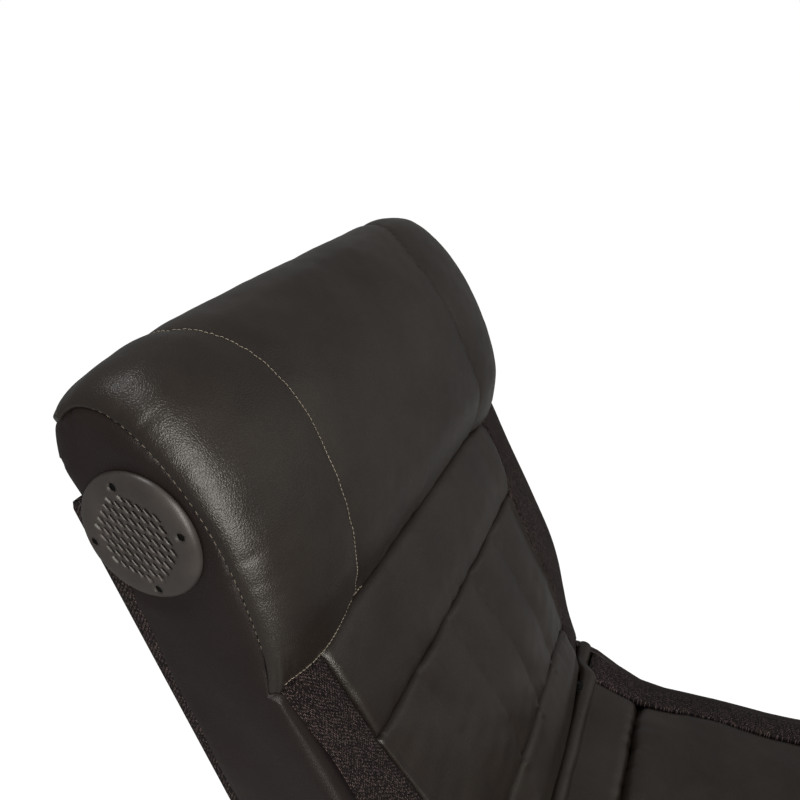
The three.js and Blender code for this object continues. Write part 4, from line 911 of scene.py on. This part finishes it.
def rear_cover(name, z0, z1, body, node, seed):
    """A panel of mesh whose sides turn forward round the corners."""
    # From the middle, and forward of the face
    turned = [(HALF + 1.2 * MM, 14 * MM), (HALF + 1.7 * MM, 9 * MM), (HALF + 1.6 * MM, 4.5 * MM),
              (HALF + 0.9 * MM, 1.8 * MM), (HALF - 0.6 * MM, 0.5 * MM)]
    flat = [(x, 0) for x in spaced(HALF - 4 * MM, 4 * MM - HALF, 5 * MM)]
    section = np.array(turned + flat + [(-x, d) for x, d in turned[::-1]])
    z = spaced(z0, z1, 4.5 * MM)
    zz = np.tile(z[:, None], (1, len(section)))
    xx, drop = (np.tile(section[:, k], (len(z), 1)) for k in (0, 1))
    ends = np.minimum(zz - z0, z1 - zz)
    y = REAR_FACE + 1.2 * MM - drop - roll_off(ends, 5, 2.5)
    middle = smoothstep(HALF - np.abs(xx), 0, 40 * MM)
    y += (0.9 * MM * lumps(xx, zz, 90, seed) - 1 * MM) * middle * smoothstep(ends, 0, 30 * MM)
    points = leaning(np.stack([xx, y, zz], -1))

    def tuck(edge):
        moved = upright(edge)
        moved[:, 0] = np.clip(moved[:, 0], -HALF + 1.5 * MM, HALF - 1.5 * MM)
        return leaning(moved)
    piece = closed_pad(name, points, [tuck, set_y(REAR_INSIDE)], mesh_cloth)
    return piece_of(piece, body, "mesh_cloth", node)


SEAT_REAR_LOW = corners("seat_rear_panel", True)[0][2]
rear_cover("back_rear_cover", GAP, REAR_TOP, "back", "back_rear_panel", 101)
rear_cover("seat_rear_cover", SEAT_REAR_LOW, -GAP, "seat", "seat_rear_panel", 102)


# Seat

NOSE_TOP_Y = FOLD[1] - NOSE_TOP_SHARE * SEAT_LENGTH
underside = points_of("underside_panel")
NOSE_BASE = float(underside[np.argmin(underside[:, 1]), 2])


def seat_column(x, rear_y, steps, drop_rear):
    """The seat's top and nose along y at one x, from its rear seam to the underside."""
    y = spaced(rear_y, NOSE_TOP_Y, 4 * MM)
    top = np.stack([y, seat_top(np.full_like(y, x), y) - roll_off(rear_y - y, *drop_rear)], -1)
    nose = curve([(NOSE_TOP_Y + (SEAT_FRONT - NOSE_TOP_Y) * a, NOSE_BASE + (top[-1, 1] - NOSE_BASE) * b)
                  for a, b in NOSE_SHARES], 80)
    return resample(np.vstack([top, nose[1:]]), steps)


def shell(points):
    """Unit normals of a grid of points on the seat, facing up where it is flat."""
    n = np.cross(np.gradient(points, axis=0), np.gradient(points, axis=1))
    n = n / np.maximum(norm(n, axis=-1), 1e-12)[..., None]
    return -n if n[len(n) // 2, 20, 2] < 0 else n


def along_middle(points):
    """How far the points of each row of a grid lie along its middle column."""
    return np.tile(lengths(points[len(points) // 2]), (len(points), 1))


def seat_pad_half(y):
    """Half the seat pads' width: the mesh strips beside them widen towards the fold."""
    return PAD_HALF - 13 * MM * (1 - smoothstep(FOLD[1] - y, 0, 150 * MM))


SEAT_STEPS = 150
seat = np.array([np.column_stack([np.full(SEAT_STEPS + 1, x),
                                  seat_column(x, L6 - GAP, SEAT_STEPS, (16, 11))])
                 for x in spaced(-PAD_HALF, PAD_HALF, 4.5 * MM)])
seat[..., 0] *= (seat_pad_half(seat[..., 1]) / PAD_HALF)
X, A = seat[..., 0], along_middle(seat)
side_d = seat_pad_half(seat[..., 1]) - np.abs(X)
move = 0.9 * MM * lumps(X, A, 90, 111) + 0.3 * MM * lumps(X, A, 26, 112)
move -= roll_off(side_d, 13, 7)
move -= gathers(X, 26, 113) * bell(A - 3 * MM, 24) * 2.2 * MM
move -= gathers(A, 34, 114) * bell(side_d, 14) * 1.4 * MM
move += 2.5 * MM * smoothstep(side_d, 4 * MM, 60 * MM)
move *= smoothstep(A[0, -1] - A, 0, 12 * MM) * 0.8 + 0.2
seat = seat + shell(seat) * move[..., None]


def seat_base(edge):
    """Down to the deck, and back to 2 mm before the front board."""
    moved = edge.copy()
    moved[:, 1] = np.clip(moved[:, 1], FRONT_BOARD - 2 * MM, None)
    moved[:, 2] = np.where(edge[:, 1] < FRONT_BOARD + 3 * MM,
                           np.minimum(edge[:, 2], DECK_TOP + GAP), DECK_TOP + GAP)
    return moved


cushion = closed_pad("seat_cover", seat, [seat_base], vinyl)
piece_of(cushion, "seat", "vinyl_cushion", "seat_cushion", fill=0.85)

# The roll behind the seat's seam, down to the fold
ROLL_STEPS = 33
LIP = ((9 * MM, -GAP), (1.5 * MM, -7 * MM))
tail = []
for x in spaced(-1, 1, 4 * MM / PAD_HALF) * PAD_HALF:
    lip = [leaning(np.array([x, back_face(x, 0.0) + y, z]))[1:] for y, z in LIP]
    ys = np.linspace(FOLD[1] - 12 * MM, L6 + GAP, 18)
    top = np.stack([ys, seat_top(np.full_like(ys, x), ys) - roll_off(ys - L6 - GAP, 13, 9)], -1)
    line = resample(curve(np.vstack([*lip, top]), 120), ROLL_STEPS)
    tail.append(np.column_stack([np.full(ROLL_STEPS + 1, x), line]))
tail = np.array(tail)
tail[..., 0] *= seat_pad_half(tail[..., 1]) / PAD_HALF
X, A = tail[..., 0], along_middle(tail)
side_d = seat_pad_half(tail[..., 1]) - np.abs(X)
move = 0.6 * MM * lumps(X, A, 70, 121) - roll_off(side_d, 12, 6)
move -= gathers(X, 23, 122) * bell(A[0, -1] - A - 3 * MM, 15) * 1.6 * MM
move -= gathers(X, 29, 123) * bell(A - 12 * MM, 13) * 1.5 * MM
tail = tail + shell(tail) * move[..., None]


def roll_base(edge):
    """Down to the deck, or to 14 mm under the fold's axis where the roll reaches past it."""
    moved = edge.copy()
    past = np.minimum(edge[:, 2], FOLD[2] - 14 * MM)
    moved[:, 2] = np.where(edge[:, 1] > FOLD[1], past, DECK_TOP + GAP)
    return moved


rear_roll = closed_pad("seat_roll_cover", tail, [roll_base], vinyl)
piece_of(rear_roll, "seat", "vinyl_cushion", "seat_rear_roll", fill=0.8)
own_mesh(rear_roll)


def strip_base(edge):
    """Back at the front board, and down elsewhere."""
    front = edge[:, 1] < FRONT_BOARD + 3 * MM
    return edge + np.stack([0 * front, front * STRIP_DEPTH, (front - 1) * STRIP_DEPTH], -1)


shares = np.linspace(0, 1, 14)
for word, side in SIDES:
    strip = []
    for s in shares:
        x = PAD_HALF + (STRIP_END - PAD_HALF) * s
        line = seat_column(x, FOLD[1] - 4 * MM, 170, (10, 5))
        inner = seat_pad_half(line[:, 0]) + 0.5 * MM
        strip.append(np.column_stack([inner + (STRIP_END - inner) * s, line]))
    strip = np.array(strip)
    X, Y = strip[..., 0], strip[..., 1]
    move = 1.2 * MM * np.sin(math.pi * shares)[:, None] - roll_off(STRIP_END - X, 5, 2.5)
    move = move - roll_off(X - seat_pad_half(Y), 5, 3)
    strip = strip + shell(strip) * move[..., None]
    strip[..., 0] *= side
    piece = closed_pad(f"seat_mesh_cover_{word}", strip, [strip_base], mesh_cloth)
    piece_of(piece, "seat", "mesh_cloth", f"seat_mesh_strip_{word}", fill=0.6)


# Sides of the seat, the right one with the control panel's window

def outline_of(node, at_x):
    """The outlines of a plate's face in YZ, read from its boundary at one x, longest first."""
    co = points_of(node)
    edges = {}
    for p in frame["nodes"][node].data.polygons:
        ids = list(p.vertices)
        if any(abs(co[i][0] - at_x) >= 1e-5 for i in ids):
            continue
        for a, b in zip(ids, ids[1:] + ids[:1]):
            a, b = tuple(np.round(co[a][1:], 6)), tuple(np.round(co[b][1:], 6))
            if (b, a) in edges:
                del edges[(b, a)]
            else:
                edges[(a, b)] = True
    follow = {}
    for a, b in edges:
        follow.setdefault(a, []).append(b)
    loops = []
    while follow:
        start = here = next(iter(follow))
        loop = []
        while not loop or here != start:
            loop.append(here)
            there = follow[here].pop()
            if not follow[here]:
                del follow[here]
            here = there
        loops.append(np.array(loop))
    return sorted(loops, key=lambda l: -np.ptp(l[:, 0]))


for word, side in SIDES:
    loops = outline_of(f"seat_side_panel_{word}", side * HALF)
    outline = dense(loops[0], 3 * MM)
    holes = [dense(l, 3 * MM) for l in loops[1:]]
    points, triangles, rings = filled(outline, holes, 4.6 * MM, insets=EDGE_INSETS)
    own = upright(np.column_stack([np.zeros(len(points)), points]))
    rear = REAR_INSIDE - own[:, 1]
    from_edge = np.where(rear < 12 * MM, 12 * MM, distance_to(points, outline))
    depth = 2.0 * MM + 0.7 * MM * lumps(*points.T, 80, 131)
    if holes:
        low, high = corners("control_plate")
        away = [np.maximum(np.maximum(low[k + 1] - points[:, k], points[:, k] - high[k + 1]), 0)
                for k in (0, 1)]
        depth *= smoothstep(np.hypot(*away), 0, 14 * MM)
    depth = depth - roll_off(from_edge, 12, 11) - roll_off(rear - 1 * MM, 8, 2.4)
    depth = np.maximum(HALF + depth, INNER + LEAST_PUFF)
    # The seat's side covers take the vinyl painted darker as shade
    panel = slab(f"seat_side_cover_{word}", points, triangles, rings, depth, INNER + GAP, side,
                 shaded_side_vinyl, place=np.asarray)
    piece_of(panel, "seat", "vinyl_panel", f"seat_side_panel_{word}")


# A rolled edge of vinyl in the fold, over the whole width

turns = np.linspace(0, 2 * math.pi, 28, endpoint=False)
xx, aa = np.meshgrid(spaced(1.5 * MM - HALF, HALF - 1.5 * MM, 3 * MM), turns, indexing="ij")
outward = smoothstep(np.abs(xx), PAD_HALF - 26 * MM, PAD_HALF + 10 * MM)
from_end = HALF - 1.5 * MM - np.abs(xx)
radius = 9.5 * MM - 0.5 * MM * outward - roll_off(from_end, 6, 5)
radius += 0.35 * MM * lumps(xx, aa * 11 * MM, 40, 141) - gathers(xx, 27, 142) * 0.6 * MM
welt = leaning(np.stack([xx, -4.5 * MM + 17 * MM * outward + radius * np.cos(aa),
                         -4 * MM - 6.5 * MM * outward + radius * np.sin(aa)], -1))
welt_cover = new_object("fold_roll_cover", welt.reshape(-1, 3), tube_faces(*xx.shape), vinyl)
piece_of(welt_cover, "seat", "vinyl_cushion", fill=0.7)


# Loudspeaker grilles: a smooth domed rim and a field of slanted slots

SCREWS = [np.mean(corners(f"grille_screw_{k}_left", True), axis=0)[1:] for k in (1, 2, 3, 4)]
SCREW_R, RECESS_DEPTH = 3.05 * MM, 2.1 * MM
COLUMN_PITCH, ROW_PITCH = 4.9 * MM, 7.8 * MM
FIELD_Y, FIELD_Z = 26.5, 31  # half axes of the field of slots, in millimetres
PROFILE_R = 43.5
# Height of the face by distance from its middle, both in millimetres
PROFILE = [(0, 5.3), (12, 5.25), (22, 5.15), (27, 5.1), (29.5, 5.55), (32, 5.8), (35, 5.7), (37.5, 5.3),
           (39.5, 4.7), (41.5, 3.6), (42.8, 2.3), (PROFILE_R, 0.6)]
dome = reader([(r * MM, h * MM) for r, h in PROFILE])
GRILLE_SHARE = GRILLE_R / (PROFILE_R * MM)
slot = np.array([[-2.45, -3.1], [0.25, -3.1], [2.45, 3.1], [-0.25, 3.1]]) * MM * GRILLE_SHARE

holes = []
for column in range(-5, 6):
    for row in range(-4, 5):
        y, z = column * COLUMN_PITCH, (row + (column % 2) / 2) * ROW_PITCH
        if math.hypot(y / FIELD_Y, z / FIELD_Z) < 1 * MM:
            holes.append(dense(slot + np.array([y, z]) * GRILLE_SHARE + SPEAKER, 2 * MM))
recess = [circle(c, r * MM, 20) for c in SCREWS for r in (3.2, 2.9)]
insets = tuple(i * MM for i in (0, 0.3, 0.8, 1.5, 2.4, 3.6, 5, 6.6))
flat, triangles, rings = filled(circle(SPEAKER, GRILLE_R, 128), holes, 2.1 * MM, 0.12, insets=insets,
                                extra=np.vstack(recess))
from_middle = norm(flat - SPEAKER, axis=1)
from_screw = np.min([norm(flat - c, axis=1) for c in SCREWS], axis=0)
high = np.where(from_screw < SCREW_R, RECESS_DEPTH, dome(from_middle / GRILLE_SHARE))
low = np.where(from_middle < HOLE_R - 1 * MM, high - 2 * MM, 0.0)
for word, side in SIDES:
    piece = slab(f"grille_{word}", flat, triangles, rings, HALF + GAP + high, HALF + GAP + low, side,
                 grille_grey)
    piece_of(piece, "back", "grille_plastic", f"speaker_grille_{word}")


# Materials of the solids that stay

slot_of = {row["node"]: row["material_slot"] for row in frame["record"]["subparts"]}
for name, carried in frame["nodes"].items():
    dark_metal = "hinge" in name or name.startswith("grille_screw")
    made_of = black_steel if dark_metal else CARRIED_OVER.get(slot_of[name])
    if made_of:
        carried.data.materials.clear()
        carried.data.materials.append(made_of)


# Floor, lights and camera

FLOOR_HALF, FLOOR_GLOW = 9, 0.92
floor_mesh = bpy.data.meshes.new("floor")
floor_mesh.from_pydata([(FLOOR_HALF * a, FLOOR_HALF * b, 0) for a, b in ((-1, -1), (1, -1), (1, 1), (-1, 1))],
                       [], [(0, 1, 2, 3)])
floor_made = Tree(bpy.data.materials.new("floor"))
shader = floor_made.nodes["Principled BSDF"]
floor_made.feed(shader, Base_Color=(0.25, 0.25, 0.25, 1), Roughness=0.95, Specular_IOR_Level=0.1)
glow = floor_made.add("Emission", Strength=floor_made.math("MULTIPLY", floor_made.seen(), FLOOR_GLOW))
both = floor_made.add("AddShader")
floor_made.put(both.inputs[0], shader.outputs[0])
floor_made.put(both.inputs[1], glow.outputs[0])
floor_made.feed(floor_made.nodes["Material Output"], Surface=both.outputs[0])
floor_mesh.materials.append(floor_made.owner)
placed("floor", floor_mesh)

world = Tree(bpy.data.worlds.new("studio"))
bpy.context.scene.world = world.owner
soft = world.feed(world.nodes["Background"], Color=(1, 0.97, 0.93, 1), Strength=0.15)
white = world.add("Background", Color=(1, 1, 1, 1), Strength=1.0)
pick = world.add("MixShader")
for socket, value in zip(pick.inputs, (world.seen(), soft.outputs[0], white.outputs[0])):
    world.put(socket, value)
world.feed(world.nodes["World Output"], Surface=pick.outputs[0])


def stand(made, x, y, z, place):
    """Turn an object so that its own axes lie along x, y and z, and put it in its place."""
    turned = Matrix((x, y, z)).transposed().to_4x4()
    turned.translation = Vector(place)
    made.matrix_world = turned


def lamp(name, place, aim, along, wide, tall, power):
    """A softbox at `place` that faces `aim`, its long side on the direction `along`."""
    data = bpy.data.lights.new(name, "AREA")
    data.shape, data.size, data.size_y, data.energy = "RECTANGLE", wide, tall, power
    data.color = LAMP_COLOUR
    z = (Vector(place) - Vector(aim)).normalized()
    x = Vector(along).cross(z).normalized()
    stand(placed(name, data), x, z.cross(x), z, place)


LAMP_COLOUR = (1, 0.955, 0.87)
lamp("key", (-1.32, -0.95, 1.3), (-0.22, 0.26, 0.6), (1.1, -0.06, 1.64), 0.7, 1.9, 39)
lamp("fill", (1.1, -1.7, 1.5), (0, 0, 0.4), (0, 0, 1), 1.6, 1.6, 4)
sun_data = bpy.data.lights.new("sky", "SUN")
sun_data.energy, sun_data.angle = 0.8, math.radians(12)
placed("sky", sun_data).rotation_euler = (math.radians(-14), math.radians(-10), 0)

# The camera: its own axes and place, and its focal length in pixels of the photograph's frame
RIGHT, UP, BACK = (0.3859, -0.9224, 0.0169), (0.4027, 0.1849, 0.8965), (-0.83, -0.3392, 0.4428)
CAMERA_PLACE = (-0.5086, 0.0381, 0.8763)
FOCAL_PIXELS, FRAME_PIXELS, SENSOR = 761.7, 800, 36
camera_data = bpy.data.cameras.new("camera")
camera_data.sensor_width, camera_data.clip_start = SENSOR, 0.01
camera_data.lens = SENSOR * FOCAL_PIXELS / FRAME_PIXELS
camera = placed("camera", camera_data)
stand(camera, RIGHT, UP, BACK, CAMERA_PLACE)
bpy.context.scene.camera = camera
bpy.context.scene.view_settings.view_transform = "Standard"
